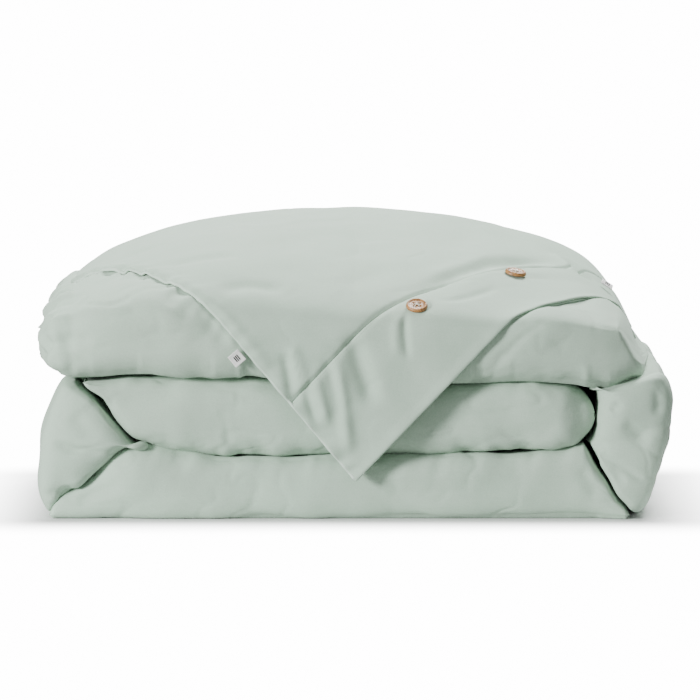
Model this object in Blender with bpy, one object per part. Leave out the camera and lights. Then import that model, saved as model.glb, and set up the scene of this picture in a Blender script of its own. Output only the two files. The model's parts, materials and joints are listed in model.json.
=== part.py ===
"""A folded duvet in a buttoned cotton cover.

The duvet is folded like a letter: the middle layer is the tucked end, the left turn joins it to
the bottom layer, and the right turn wraps round its free end up to the top layer. The open mouth
of the cover lies over the top, and its corner hangs down the front. Metres, +Z up, front at -Y,
origin on the floor under the middle of the object's box.
"""
import math

import bmesh
import bpy
import numpy as np
from mathutils import Matrix, Vector

# The folded stack
LEFT_X = -0.290
RIGHT_X = 0.290
FRONT_Y = -0.216
BACK_Y = 0.222
BOTTOM_TOP_Z = 0.058
MIDDLE_LOW_Z = 0.060
MIDDLE_TOP_Z = 0.1270
UPPER_LOW_Z = 0.1290
LEFT_FOLD_X = -0.222
RIGHT_FOLD_X = 0.193
MIDDLE_END_X = 0.2157
TOP_END_X = -0.2885
TOP_END_RADIUS = 0.030
CORNER_RADIUS = 0.028

# Cloth, casing and filling, counted inwards from a layer's outer face
CLOTH = 0.0015
CASING_START = 0.0020
CASING_END = 0.0032
FILLING_START = 0.0037
END_POCKET = 0.006
PART_GAP = 0.0006

# The domed top, as the outer face of the cover's mouth
MOUTH_HALF_DEPTH = 0.2305
CROWN_Y = 0.119
SHOULDER_Z = 0.180
CROWN = ((-0.290, 0.186), (-0.260, 0.216), (-0.220, 0.237), (-0.170, 0.2533), (-0.100, 0.2655),
         (-0.030, 0.2702), (0.050, 0.2686), (0.120, 0.2578), (0.180, 0.2405), (0.220, 0.2221),
         (0.245, 0.1941), (0.262, 0.1602), (0.276, 0.130))
FRONT_POWER = ((-0.25, 2.55), (0.0, 1.54), (0.20, 1.40))
BACK_POWER = 2.0
END_ROUNDING = 0.100
FRONT_PULL = 0.044
BACK_PULL = 0.060

# The mouth's cloth, laid with its corner to the front; lengths on the unrolled cloth
CORNER_TIP_Z = 0.0375
SEAM_SLOPE = math.radians(49.95)
HEM_SLOPE = math.radians(46.3)
HINGE_S = 0.1400
MOUTH_LEFT_X = -0.268
MOUTH_RIGHT_X = 0.263
MOUTH_BACK_Z = 0.170
BAND_WIDTH = 0.092
STITCH_GAP = 0.0018
OUTER_CLOTH = (0.0, 0.0012)
INNER_CLOTH = (0.0022, 0.0034)
LAYER_INSET = 0.0098

# Fasteners and labels
BUTTON_LINE = 0.0737
BUTTON_X = (0.0556, 0.148)
BUTTON_RADIUS = 0.0100
BUTTON_THICK = 0.0034
BUTTON_LIFT = 0.0012
HOLE_RADIUS = 0.00125
HOLE_OFFSET = 0.0024
BUTTONHOLE = (0.0225, 0.0044)
LABEL_SIZE = 0.0115
LABEL_THICK = 0.0008
WOVEN_LABEL_AT = 0.157
CARE_LABEL_AT = (0.391, 0.058)

# The hinge that the top layer opens on
TOP_HINGE = (0.2905, 0.130)


def clear_scene():
    """Start from an empty scene."""
    for old in list(bpy.data.objects):
        bpy.data.objects.remove(old, do_unlink=True)


def material(name, colour, roughness, metallic=0.0):
    """One Principled BSDF material."""
    mat = bpy.data.materials.new(name)
    mat.use_nodes = True
    shader = mat.node_tree.nodes["Principled BSDF"]
    shader.inputs["Base Color"].default_value = (*colour, 1.0)
    shader.inputs["Roughness"].default_value = roughness
    shader.inputs["Metallic"].default_value = metallic
    return mat


def finish(name, bm, mat, origin=(0.0, 0.0, 0.0), smooth=True):
    """Turn a bmesh, drawn in world coordinates, into one object whose origin is given."""
    bmesh.ops.recalc_face_normals(bm, faces=bm.faces[:])
    bmesh.ops.translate(bm, verts=bm.verts[:], vec=-Vector(origin))
    mesh = bpy.data.meshes.new(name)
    bm.to_mesh(mesh)
    bm.free()
    obj = bpy.data.objects.new(name, mesh)
    obj.location = origin
    bpy.context.scene.collection.objects.link(obj)
    mesh.materials.append(mat)
    if smooth:
        mesh.shade_smooth()
        mesh.set_sharp_from_angle(angle=math.radians(50))
    return obj


# ---------------------------------------------------------------- layered tubes

def bridge(bm, rings, closed=True):
    """Faces between each ring of points and the next."""
    count = len(rings[0])
    last = count if closed else count - 1
    for ring, after in zip(rings, rings[1:]):
        for k in range(last):
            n = (k + 1) % count
            bm.faces.new((ring[k], ring[n], after[n], after[k]))


def add_rings(bm, rings):
    """Vertices for rings of points."""
    return [[bm.verts.new(p) for p in ring] for ring in rings]


def solid_loft(name, rings, mat):
    """A solid through the rings, capped at both ends."""
    bm = bmesh.new()
    rows = add_rings(bm, rings)
    bridge(bm, rows)
    bm.faces.new(rows[0])
    bm.faces.new(rows[-1])
    return finish(name, bm, mat)


def shell_loft(name, outer, inner, mat, closed_end=False):
    """A tube of cloth between outer and inner rings, open where it meets its neighbours."""
    bm = bmesh.new()
    out_rows = add_rings(bm, outer)
    in_rows = add_rings(bm, inner)
    bridge(bm, out_rows)
    bridge(bm, in_rows)
    bridge(bm, [out_rows[0], in_rows[0]])
    if closed_end:
        bm.faces.new(out_rows[-1])
        bm.faces.new(in_rows[-1])
    else:
        bridge(bm, [out_rows[-1], in_rows[-1]])
    return finish(name, bm, mat)


def slab_ring(outer, inner, inset, y_front=FRONT_Y, y_back=BACK_Y):
    """Rounded rectangle across a layer: outer and inner are (x, z) on its two faces."""
    a = np.array(outer)
    b = np.array(inner)
    height = float(np.linalg.norm(b - a))
    along = (b - a) / height
    r = min(CORNER_RADIUS, 0.47 * height) - inset
    y0 = y_front + inset + r
    y1 = y_back - inset - r
    low = inset + r
    high = height - inset - r
    points = []
    for y_c, q_c, start in ((y0, low, 180), (y1, low, 270), (y1, high, 0), (y0, high, 90)):
        for k in range(4):
            angle = math.radians(start + 30 * k)
            q = q_c + r * math.sin(angle)
            x, z = a + along * q
            points.append((x, y_c + r * math.cos(angle), z))
    return points


def dome_arc(front, back, rise, power, steps):
    """Points (y, height) over a dome, from its front shoulder over the crown to the back one."""
    points = []
    for k in range(steps + 1):
        angle = math.pi * k / steps
        c, n = math.cos(angle), abs(math.sin(angle))
        p = power if c > 0 else BACK_POWER
        y = CROWN_Y - math.copysign(abs(c) ** (2 / p), c) * (front if c > 0 else back)
        points.append((y, rise * n ** (2 / p)))
    return points


def domed_ring(outer, inner, inset, front, back, power, shoulder):
    """Section of the top layer: a domed outer face and a flat, round-cornered inner face."""
    a = np.array(outer)
    b = np.array(inner)
    height = float(np.linalg.norm(a - b))
    along = (a - b) / height
    reach, behind = front - inset, max(back - inset, 0.004)
    arc = dome_arc(reach, behind, height - shoulder - inset, power, 12)
    points = [(y, shoulder + q) for y, q in arc]
    r = max(0.9 * (shoulder - inset), 0.002)
    for centre, start in ((CROWN_Y + behind - r, 0), (CROWN_Y - reach + r, -90)):
        for k in range(1, 4):
            angle = math.radians(start - 30 * k + (8 if start else 0))
            points.append((centre + r * math.cos(angle), inset + r + r * math.sin(angle)))
    places = []
    for y, q in points:
        x, z = b + along * q
        places.append((x, y, z))
    return places


# ---------------------------------------------------------------- the domed top

def smooth_through(points, x):
    """Smooth height at x through a few (x, z) points, held level past the ends."""
    if x <= points[0][0]:
        return points[0][1]
    if x >= points[-1][0]:
        return points[-1][1]
    index = max(i for i in range(len(points) - 1) if points[i][0] <= x)

    def slope(i):
        if i == 0 or i == len(points) - 1:
            j = 1 if i == 0 else i
            return (points[j][1] - points[j - 1][1]) / (points[j][0] - points[j - 1][0])
        return (points[i + 1][1] - points[i - 1][1]) / (points[i + 1][0] - points[i - 1][0])

    (x0, z0), (x1, z1) = points[index], points[index + 1]
    width = x1 - x0
    t = (x - x0) / width
    return ((2 * t**3 - 3 * t**2 + 1) * z0 + (t**3 - 2 * t**2 + t) * width * slope(index)
            + (3 * t**2 - 2 * t**3) * z1 + (t**3 - t**2) * width * slope(index + 1))


def crown_z(x):
    """Height of the mouth's outer face over the middle of the stack."""
    return smooth_through(CROWN, x)


def layer_top(x):
    """Height of the filled top layer under the mouth's cloth, clear of it square to the slope."""
    step = 0.004
    slope = (crown_z(x + step) - crown_z(x - step)) / (2 * step)
    return crown_z(x) - LAYER_INSET * math.hypot(1.0, slope)


def front_power(x):
    """How square the dome's front shoulder is at x."""
    return float(np.interp(x, *zip(*FRONT_POWER)))


def dome_size(x):
    """Front and back reach from the crown, shoulder height and rise of the dome at x."""
    from_end = min(x - CROWN[0][0], CROWN[-1][0] - x) / END_ROUNDING
    pull = 1 - math.sqrt(1 - (1 - min(max(from_end, 0.0), 1.0)) ** 2)
    front = MOUTH_HALF_DEPTH + CROWN_Y - FRONT_PULL * pull
    back = MOUTH_HALF_DEPTH - CROWN_Y - BACK_PULL * pull
    top = crown_z(x)
    rise = max(top - SHOULDER_Z, 0.016)
    return front, back, top - rise, rise


def dome_outline(x, inset=0.0, steps=96):
    """Outline of the mouth's cloth at x: up the front, over the crown, down the back."""
    front, back, shoulder, rise = dome_size(x)
    reach = front - inset
    points = [(CROWN_Y - reach, CORNER_TIP_Z + (shoulder - CORNER_TIP_Z) * k / 8)
              for k in range(8)]
    for y, q in dome_arc(reach, back - inset, rise - inset, front_power(x), steps):
        points.append((y, shoulder + q))
    points.append((CROWN_Y + back - inset, min(MOUTH_BACK_Z, shoulder - 0.004)))
    return np.array(points)


def cloth_point(x, s, inset=0.0):
    """The point on the mouth's cloth at x, a length s up from the level of the corner's tip."""
    outer = dome_outline(x)
    lengths = np.concatenate(([0.0], np.cumsum(np.linalg.norm(np.diff(outer, axis=0), axis=1))))
    here = dome_outline(x, inset)
    return Vector((x, np.interp(s, lengths, here[:, 0]), np.interp(s, lengths, here[:, 1])))


def back_s(x):
    """Length of the cloth's outline at x, to its back edge."""
    outer = dome_outline(x)
    return float(np.linalg.norm(np.diff(outer, axis=0), axis=1).sum())


def edge_s(x):
    """Length up to the panels' front edge at x: side seam on the left, band's seam on the right."""
    band = x * math.tan(HEM_SLOPE) + (BAND_WIDTH + STITCH_GAP) / math.cos(HEM_SLOPE)
    return max(-x * math.tan(SEAM_SLOPE), band)


def band_point(t, w):
    """Unrolled place (x, s) at t along the hem from the corner's tip and w in from the hem."""
    c, n = math.cos(HEM_SLOPE), math.sin(HEM_SLOPE)
    return t * c - w * n, t * n + w * c


def cloth_frame(x, s, inset=0.0):
    """Place, outward normal and up-the-cloth direction at a point of the mouth's cloth."""
    step = 0.002
    here = cloth_point(x, s, inset)
    across = cloth_point(x + step, s, inset) - cloth_point(x - step, s, inset)
    up = cloth_point(x, s + step, inset) - cloth_point(x, s - step, inset)
    normal = across.cross(up).normalized()
    return here, normal, up.normalized()


def thin_sheet(name, grid, faces, mat, origin=(0.0, 0.0, 0.0)):
    """A closed thin solid over a grid of unrolled places, between two insets."""
    bm = bmesh.new()
    layers = []
    for inset in faces:
        layers.append(add_rings(bm, [[cloth_point(x, s, inset) for x, s in row] for row in grid]))
    top, under = layers
    bridge(bm, top, closed=False)
    bridge(bm, under, closed=False)
    bridge(bm, [top[0], under[0]], closed=False)
    bridge(bm, [top[-1], under[-1]], closed=False)
    bridge(bm, [[row[0] for row in top], [row[0] for row in under]], closed=False)
    bridge(bm, [[row[-1] for row in top], [row[-1] for row in under]], closed=False)
    return finish(name, bm, mat, origin)


def spread(low, high, count):
    """Evenly spaced values."""
    return [low + (high - low) * k / (count - 1) for k in range(count)]


def crowded(low, high, count):
    """Values from low to high that lie closer together towards both ends."""
    return [low + (high - low) * (1 - math.cos(math.pi * f)) / 2 for f in spread(0.0, 1.0, count)]


# ---------------------------------------------------------------- stack segments

def bottom_rings(inset):
    """The bottom layer, flat on the floor."""
    return [slab_ring((x, 0.0), (x, BOTTOM_TOP_Z), inset)
            for x in spread(LEFT_FOLD_X, RIGHT_FOLD_X, 4)]


def turn_outline(angle, centre, reach_x, up, down, power_up, power_down):
    """Outer face of a turn, as a superellipse about its centre."""
    c, n = math.cos(angle), math.sin(angle)
    power = power_up if n > 0 else power_down
    rise = up if n > 0 else down
    x = centre[0] + math.copysign(abs(c) ** (2 / power), c) * reach_x
    z = centre[1] + math.copysign(abs(n) ** (2 / power), n) * rise
    return x, z


def left_turn_rings(inset):
    """The left turn, from the middle layer round to the bottom layer."""
    centre = (LEFT_FOLD_X - PART_GAP, (BOTTOM_TOP_Z + MIDDLE_LOW_Z) / 2)
    inner = (MIDDLE_LOW_Z - BOTTOM_TOP_Z) / 2
    rings = []
    for angle in spread(math.pi / 2, 3 * math.pi / 2, 9):
        outer = turn_outline(angle, centre, centre[0] - LEFT_X, MIDDLE_TOP_Z - centre[1],
                             centre[1], 2.2, 3.0)
        near = (centre[0] + inner * math.cos(angle), centre[1] + inner * math.sin(angle))
        rings.append(slab_ring(outer, near, inset, FRONT_Y + 0.004, BACK_Y - 0.004))
    return rings


def middle_rings(inset):
    """The middle layer, with a rounded free end on the right."""
    rings = [slab_ring((x, MIDDLE_TOP_Z), (x, MIDDLE_LOW_Z), inset)
             for x in spread(LEFT_FOLD_X, 0.15, 3)]
    half = (MIDDLE_TOP_Z - MIDDLE_LOW_Z) / 2
    mid = (MIDDLE_TOP_Z + MIDDLE_LOW_Z) / 2
    centre = MIDDLE_END_X - half
    for degrees in (0, 25, 45, 60, 72):
        angle = math.radians(degrees)
        x = centre + (half - inset) * math.sin(angle) - end_pocket(inset)
        rise = (half - inset) * math.cos(angle) + inset
        pull = 0.020 * (1 - math.cos(angle))
        rings.append(slab_ring((x, mid + rise), (x, mid - rise), inset,
                               FRONT_Y + pull, BACK_Y - pull))
    return rings


def right_inner(angle):
    """Inner face of the right turn, round the middle layer's free end."""
    mid = (BOTTOM_TOP_Z + UPPER_LOW_Z) / 2
    radius = (UPPER_LOW_Z - BOTTOM_TOP_Z) / 2
    return RIGHT_FOLD_X + radius * math.cos(angle), mid + radius * math.sin(angle)


def right_lower_rings(inset):
    """The right turn below the opening hinge."""
    centre = (RIGHT_FOLD_X + PART_GAP, 0.100)
    rings = []
    for k, angle in enumerate(spread(-math.pi / 2, 0.0, 9)):
        outer = turn_outline(angle, centre, RIGHT_X - centre[0], 0.1, centre[1], 2.0, 2.9)
        near = right_inner(angle)
        shift = PART_GAP if k == 0 else 0.0
        rings.append(slab_ring(outer, (near[0] + shift, near[1]), inset,
                               FRONT_Y + 0.003, BACK_Y - 0.003))
    rings.append(slab_ring((RIGHT_X, TOP_HINGE[1] - 0.0006), right_inner(math.radians(6)), inset,
                           FRONT_Y + 0.003, BACK_Y - 0.003))
    return rings


def right_upper_rings(inset):
    """The right turn above the opening hinge, up to the top layer."""
    x_end = RIGHT_FOLD_X + PART_GAP
    outline = [(RIGHT_X, TOP_HINGE[1] + 0.0004), (0.276, 0.1350)]
    outline += [(x, layer_top(x)) for x in (0.260, 0.247, 0.232, 0.214, x_end)]
    rings = []
    for k, outer in enumerate(outline):
        f = k / (len(outline) - 1)
        near = (x_end, UPPER_LOW_Z) if f == 1 else right_inner(math.radians(8 + 82 * f))
        front, back, _, _ = dome_size(min(outer[0], 0.24))
        height = math.dist(outer, near)
        power = 2.6 + (front_power(x_end) - 2.6) * f
        rings.append(domed_ring(outer, near, inset, front - LAYER_INSET, back - LAYER_INSET,
                                power, min(SHOULDER_Z - UPPER_LOW_Z, 0.62 * height)))
    return rings


def top_rings(inset):
    """The top layer, with a blunt rounded free end on the left."""
    stations = [(x, x, 0.0) for x in (RIGHT_FOLD_X, 0.13, 0.05, -0.03, -0.09, -0.145, -0.19, -0.23)]
    centre = TOP_END_X + TOP_END_RADIUS
    for degrees in (0, 30, 52, 72):
        angle = math.radians(degrees)
        shape_x = centre - TOP_END_RADIUS * math.sin(angle)
        x = shape_x + inset * math.sin(angle) + end_pocket(inset)
        stations.append((shape_x, x, (TOP_END_RADIUS - inset) * (1 - math.cos(angle))))
    rings = []
    for shape_x, x, trim in stations:
        front, back, _, _ = dome_size(shape_x)
        base = UPPER_LOW_Z + trim
        top = layer_top(max(shape_x, centre)) - trim
        level = min(SHOULDER_Z - UPPER_LOW_Z, 0.6 * (top - base))
        tuck = LAYER_INSET + 0.006 * min(max((-0.22 - shape_x) / 0.03, 0.0), 1.0)
        rings.append(domed_ring((x, top), (x, base), inset, front - tuck, back - tuck,
                                front_power(shape_x), level))
    return rings


def end_pocket(inset):
    """Slack left between the cover's closed ends and the insert, where the corner ties sit."""
    return END_POCKET if inset >= CASING_START else 0.0


def build_stack(cotton, casing, filling):
    """Cover, inner casing and filling of every stretch of the folded duvet."""
    segments = (("bottom_layer", bottom_rings, False), ("left_turn", left_turn_rings, False),
                ("middle_layer", middle_rings, True), ("right_turn_lower", right_lower_rings, False),
                ("right_turn_upper", right_upper_rings, False), ("top_layer", top_rings, True))
    for name, rings, closed in segments:
        shell_loft("cover_" + name, rings(0.0), rings(CLOTH), cotton, closed_end=closed)
        shell_loft("casing_" + name, rings(CASING_START), rings(CASING_END), casing,
                   closed_end=closed)
        solid_loft("filling_" + name, rings(FILLING_START), filling)


# ---------------------------------------------------------------- the mouth of the cover

def side_grid(stations, s_low, s_high, rows):
    """Unrolled places between the panels' front edge (or s_low) and s_high."""
    grid = []
    for x in stations:
        start = max(edge_s(x), s_low)
        end = back_s(x) - 0.001 if s_high is None else s_high
        grid.append([(x, s) for s in crowded(start, end, rows)])
    return grid


def band_grid(s_low, s_high, columns):
    """Unrolled places on the band along the hem, between two levels of s."""
    c, n = math.cos(HEM_SLOPE), math.sin(HEM_SLOPE)
    grid = []
    for w in spread(0.0006, BAND_WIDTH, 5):
        if s_low is None:
            start = 0.125 * w + 0.004
        else:
            start = (s_low - w * c) / n
        end = (MOUTH_RIGHT_X - 0.004 + w * n) / c if s_high is None else (s_high - w * c) / n
        grid.append([band_point(t, w) for t in crowded(start, end, columns)])
    return grid


def build_mouth(cotton):
    """Two panels, each with its band along the hem, above and below the shoulder line."""
    gap = PART_GAP / 2
    tip_x = -(BAND_WIDTH + STITCH_GAP) / math.cos(HEM_SLOPE)
    tip_x /= math.tan(SEAM_SLOPE) + math.tan(HEM_SLOPE)
    left = -HINGE_S / math.tan(SEAM_SLOPE) + 0.004
    right = (HINGE_S - (BAND_WIDTH + STITCH_GAP) / math.cos(HEM_SLOPE)) / math.tan(HEM_SLOPE) - 0.003
    hinge = flap_hinge()
    upper = side_grid(crowded(MOUTH_LEFT_X, MOUTH_RIGHT_X, 23), HINGE_S + gap, None, 14)
    lower = side_grid(spread(left, tip_x, 6) + spread(tip_x, right, 6)[1:], 0.0, HINGE_S - gap, 6)
    band_upper = band_grid(HINGE_S + gap, None, 15)
    band_lower = band_grid(None, HINGE_S - gap, 8)
    for layer, faces, band in (("outer", OUTER_CLOTH, "buttonhole_band"),
                               ("inner", INNER_CLOTH, "button_band")):
        thin_sheet(f"mouth_{layer}_panel", upper, faces, cotton)
        thin_sheet(f"flap_{layer}_panel", lower, faces, cotton, hinge)
        thin_sheet(band + "_upper", band_upper, faces, cotton)
        thin_sheet(band + "_flap", band_lower, faces, cotton, hinge)


def flap_hinge():
    """A point on the shoulder line that the hanging corner lifts about."""
    return cloth_point(0.0, HINGE_S)


def seam_tube(name, s_low, s_high, count, cotton, origin=(0.0, 0.0, 0.0)):
    """The rolled side seam, just outside the panels' left edge."""
    radius = 0.0019
    bm = bmesh.new()
    rings = []
    for s in spread(s_low, s_high, count):
        x = -s / math.tan(SEAM_SLOPE)
        here, normal, up = cloth_frame(x, s, 0.0024)
        side = (normal.cross(up)).normalized()
        away = (-side * math.sin(SEAM_SLOPE) - up * math.cos(SEAM_SLOPE)).normalized()
        if away.x > 0:
            away = (side * math.sin(SEAM_SLOPE) - up * math.cos(SEAM_SLOPE)).normalized()
        centre = here + away * (radius + 0.0009)
        rings.append([centre + away * (radius * math.cos(a)) + normal * (radius * math.sin(a))
                      for a in spread(0.0, math.tau * 7 / 8, 8)])
    rows = add_rings(bm, rings)
    bridge(bm, rows)
    bm.faces.new(rows[0])
    bm.faces.new(rows[-1])
    return finish(name, bm, cotton, origin)


# ---------------------------------------------------------------- buttons, threads, labels

def cut(obj, cutters):
    """Subtract or join helper solids, then drop them."""
    for kind, tool in cutters:
        tool.hide_render = True
        tool.display_type = "WIRE"
        step = obj.modifiers.new(tool.name, "BOOLEAN")
        step.operation = kind
        step.object = tool
        step.solver = "EXACT"


def cylinder(name, radius, depth, at, matrix, sides=8):
    """A helper cylinder along the local Z of a placing matrix."""
    mesh = bpy.data.meshes.new(name)
    bm = bmesh.new()
    bmesh.ops.create_cone(bm, cap_ends=True, segments=sides, radius1=radius, radius2=radius,
                          depth=depth, matrix=Matrix.Translation(at))
    bm.to_mesh(mesh)
    bm.free()
    obj = bpy.data.objects.new(name, mesh)
    obj.matrix_world = matrix
    bpy.context.scene.collection.objects.link(obj)
    return obj


def box(name, size, at, matrix, turn=0.0):
    """A helper box in the local axes of a placing matrix."""
    mesh = bpy.data.meshes.new(name)
    bm = bmesh.new()
    place = Matrix.Translation(at) @ Matrix.Rotation(turn, 4, "Z") @ Matrix.Diagonal((*size, 1.0))
    bmesh.ops.create_cube(bm, size=1.0, matrix=place)
    bm.to_mesh(mesh)
    bm.free()
    obj = bpy.data.objects.new(name, mesh)
    obj.matrix_world = matrix
    bpy.context.scene.collection.objects.link(obj)
    return obj


def button_place(x):
    """Placing matrix of a button: origin on the cloth's outer face, Z outwards, X up the band."""
    t = (x + BUTTON_LINE * math.sin(HEM_SLOPE)) / math.cos(HEM_SLOPE)
    here, normal, up = cloth_frame(*band_point(t, BUTTON_LINE))
    side = up.cross(normal).normalized()
    along = (side * math.cos(HEM_SLOPE) + up * math.sin(HEM_SLOPE)).normalized()
    if along.x < 0:
        along = (-side * math.cos(HEM_SLOPE) + up * math.sin(HEM_SLOPE)).normalized()
    third = normal.cross(along).normalized()
    matrix = Matrix((along, third, normal)).transposed().to_4x4()
    return Matrix.Translation(here) @ matrix


def button(name, matrix, wood):
    """A four-hole dished button, its origin on its thread's axis."""
    low = BUTTON_LIFT
    high = low + BUTTON_THICK
    r = BUTTON_RADIUS
    profile = ((0.0, low), (0.7 * r, low), (0.92 * r, low + 0.0006), (r, low + 0.0016),
               (0.98 * r, high - 0.0005), (0.90 * r, high), (0.80 * r, high - 0.0002),
               (0.68 * r, high - 0.0009), (0.0, high - 0.0009))
    bm = bmesh.new()
    sides = 20
    rings = [[Vector((rad * math.cos(math.tau * k / sides), rad * math.sin(math.tau * k / sides), z))
              for k in range(sides)] for rad, z in profile[1:-1]]
    rows = add_rings(bm, rings)
    bridge(bm, rows)
    bm.faces.new(rows[0])
    bm.faces.new(rows[-1])
    obj = finish(name, bm, wood)
    obj.matrix_world = matrix
    holes = [cylinder(f"{name}_hole_{i}_{j}", HOLE_RADIUS, 0.02, (i * HOLE_OFFSET, j * HOLE_OFFSET, low),
                      matrix) for i in (-1, 1) for j in (-1, 1)]
    cut(obj, [("DIFFERENCE", hole) for hole in holes])
    return obj


def button_thread(name, matrix, yarn):
    """Crossed stitches through the four holes, wound into a shank through the buttonhole."""
    top = BUTTON_LIFT + BUTTON_THICK - 0.0009
    thick = 0.0013
    shank_low = -OUTER_CLOTH[1]
    body = cylinder(name, 0.0017, BUTTON_LIFT - 0.0008 - shank_low,
                    (0, 0, (BUTTON_LIFT - 0.0008 + shank_low) / 2), matrix)
    body.data.materials.append(yarn)
    body.data.shade_smooth()
    body.data.set_sharp_from_angle(angle=math.radians(50))
    tools = []
    reach = 2 * HOLE_OFFSET * math.sqrt(2) + thick
    for i, turn in enumerate((math.pi / 4, -math.pi / 4)):
        tools.append(box(f"{name}_cross_{i}", (reach, thick, 0.0009),
                         (0, 0, top + 0.0004 + 0.00045 + 0.0001 * i), matrix, turn))
        tools.append(box(f"{name}_under_{i}", (reach, thick, 0.0007),
                         (0, 0, BUTTON_LIFT - 0.0008 + 0.00012 * i), matrix, turn))
    for i in (-1, 1):
        for j in (-1, 1):
            low = BUTTON_LIFT - 0.0009
            high = top + 0.0011
            tools.append(cylinder(f"{name}_leg_{i}_{j}", 0.00072, high - low,
                                  (i * HOLE_OFFSET, j * HOLE_OFFSET, (low + high) / 2), matrix, 6))
    cut(body, [("UNION", tool) for tool in tools])
    return body


def build_buttons(wood, yarn):
    """Each button with its thread, and its buttonhole through the outer panel and band."""
    for index, x in enumerate(BUTTON_X, start=1):
        matrix = button_place(x)
        button(f"button_{index}", matrix, wood)
        button_thread(f"button_thread_{index}", matrix, yarn)
        slit = box(f"buttonhole_{index}", (*BUTTONHOLE, 0.0120), (0.0, 0.0, 0.0), matrix)
        cut(bpy.data.objects["buttonhole_band_upper"], [("DIFFERENCE", slit)])


def label(name, base, normal, across, out, yarn, width, height, thick=LABEL_THICK):
    """A folded label: base is the middle of its sewn edge, out the way it hangs."""
    bm = bmesh.new()
    matrix = Matrix((across, out, normal)).transposed().to_4x4()
    place = Matrix.Translation((0, height / 2, 0)) @ Matrix.Diagonal((width, height, thick, 1.0))
    bmesh.ops.create_cube(bm, size=1.0, matrix=place)
    bevel = [e for e in bm.edges if abs((e.verts[0].co - e.verts[1].co).z) > 0.5 * thick]
    bmesh.ops.bevel(bm, geom=bevel, offset=0.0006, segments=2, affect="EDGES", profile=0.5)
    obj = finish(name, bm, yarn, smooth=False)
    obj.matrix_world = Matrix.Translation(base) @ matrix
    return obj


def label_places():
    """Sewn edge, normal, edge direction and hanging direction of both labels."""
    places = {}
    s = WOVEN_LABEL_AT - CORNER_TIP_Z
    here = cloth_point(-s / math.tan(SEAM_SLOPE), s, 0.0024)
    normal = Vector((0.0, -1.0, 0.0))
    edge = Vector((-math.cos(SEAM_SLOPE), 0.0, math.sin(SEAM_SLOPE)))
    out = Vector((-math.sin(SEAM_SLOPE), 0.0, -math.cos(SEAM_SLOPE)))
    places["woven_label"] = (here + out * 0.0052, normal, edge, out)
    here, normal, _ = cloth_frame(*band_point(*CARE_LABEL_AT))
    side = Vector((1.0, 0.0, 0.0))
    out = (side - normal * side.dot(normal)).normalized()
    places["care_label"] = (here + normal * 0.0011, normal, out.cross(normal), out)
    return places


def build_labels(white):
    """The small blank labels sewn into the side seam and the band's seam."""
    for name, (base, normal, across, out) in label_places().items():
        label(name, base, normal, across, out, white, LABEL_SIZE, LABEL_SIZE)


# ---------------------------------------------------------------- corner ties

def build_ties(tape):
    """The tape loops that hold the insert in the cover's corners, at its two closed ends."""
    tucked = (MIDDLE_END_X - 0.0064, 0.180, (MIDDLE_LOW_Z + MIDDLE_TOP_Z) / 2)
    upper = (TOP_END_X + 0.0055, 0.130, 0.1640)
    for end, (x, y, z), height in (("tucked", tucked, 0.0090), ("top", upper, 0.0090)):
        for side, sign in (("front", -1), ("back", 1)):
            bm = bmesh.new()
            size = Matrix.Diagonal((0.0032, 0.0180, height, 1.0))
            bmesh.ops.create_cube(bm, size=1.0, matrix=size)
            bmesh.ops.bevel(bm, geom=bm.edges[:], offset=0.0007, segments=1, affect="EDGES")
            tie = finish(f"corner_tie_{end}_{side}", bm, tape, smooth=False)
            tie.location = (x, sign * y, z)


def main():
    clear_scene()
    cotton = material("cover_cotton", (0.52, 0.58, 0.52), 0.85)
    casing = material("casing_cambric", (0.86, 0.86, 0.83), 0.90)
    filling = material("filling_fibre", (0.93, 0.93, 0.91), 0.95)
    wood = material("coconut_button", (0.66, 0.46, 0.30), 0.55)
    yarn = material("button_yarn", (0.82, 0.76, 0.64), 0.90)
    white = material("label_tape", (0.93, 0.93, 0.92), 0.85)
    build_stack(cotton, casing, filling)
    build_mouth(cotton)
    seam_tube("side_seam_flap", 0.004, HINGE_S - 0.003, 8, cotton, flap_hinge())
    seam_tube("side_seam_upper", HINGE_S + 0.003, -MOUTH_LEFT_X * math.tan(SEAM_SLOPE), 9, cotton)
    build_buttons(wood, yarn)
    build_labels(white)
    build_ties(white)


main()
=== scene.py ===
"""Looks of a folded duvet in a buttoned cotton cover: puffed layers, the cover's open mouth laid
over the top with its corner hanging down the front, coconut buttons, stitching and blank labels."""

import json
import math

import bmesh
import bpy
import numpy as np
from mathutils import Matrix, Vector

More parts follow.
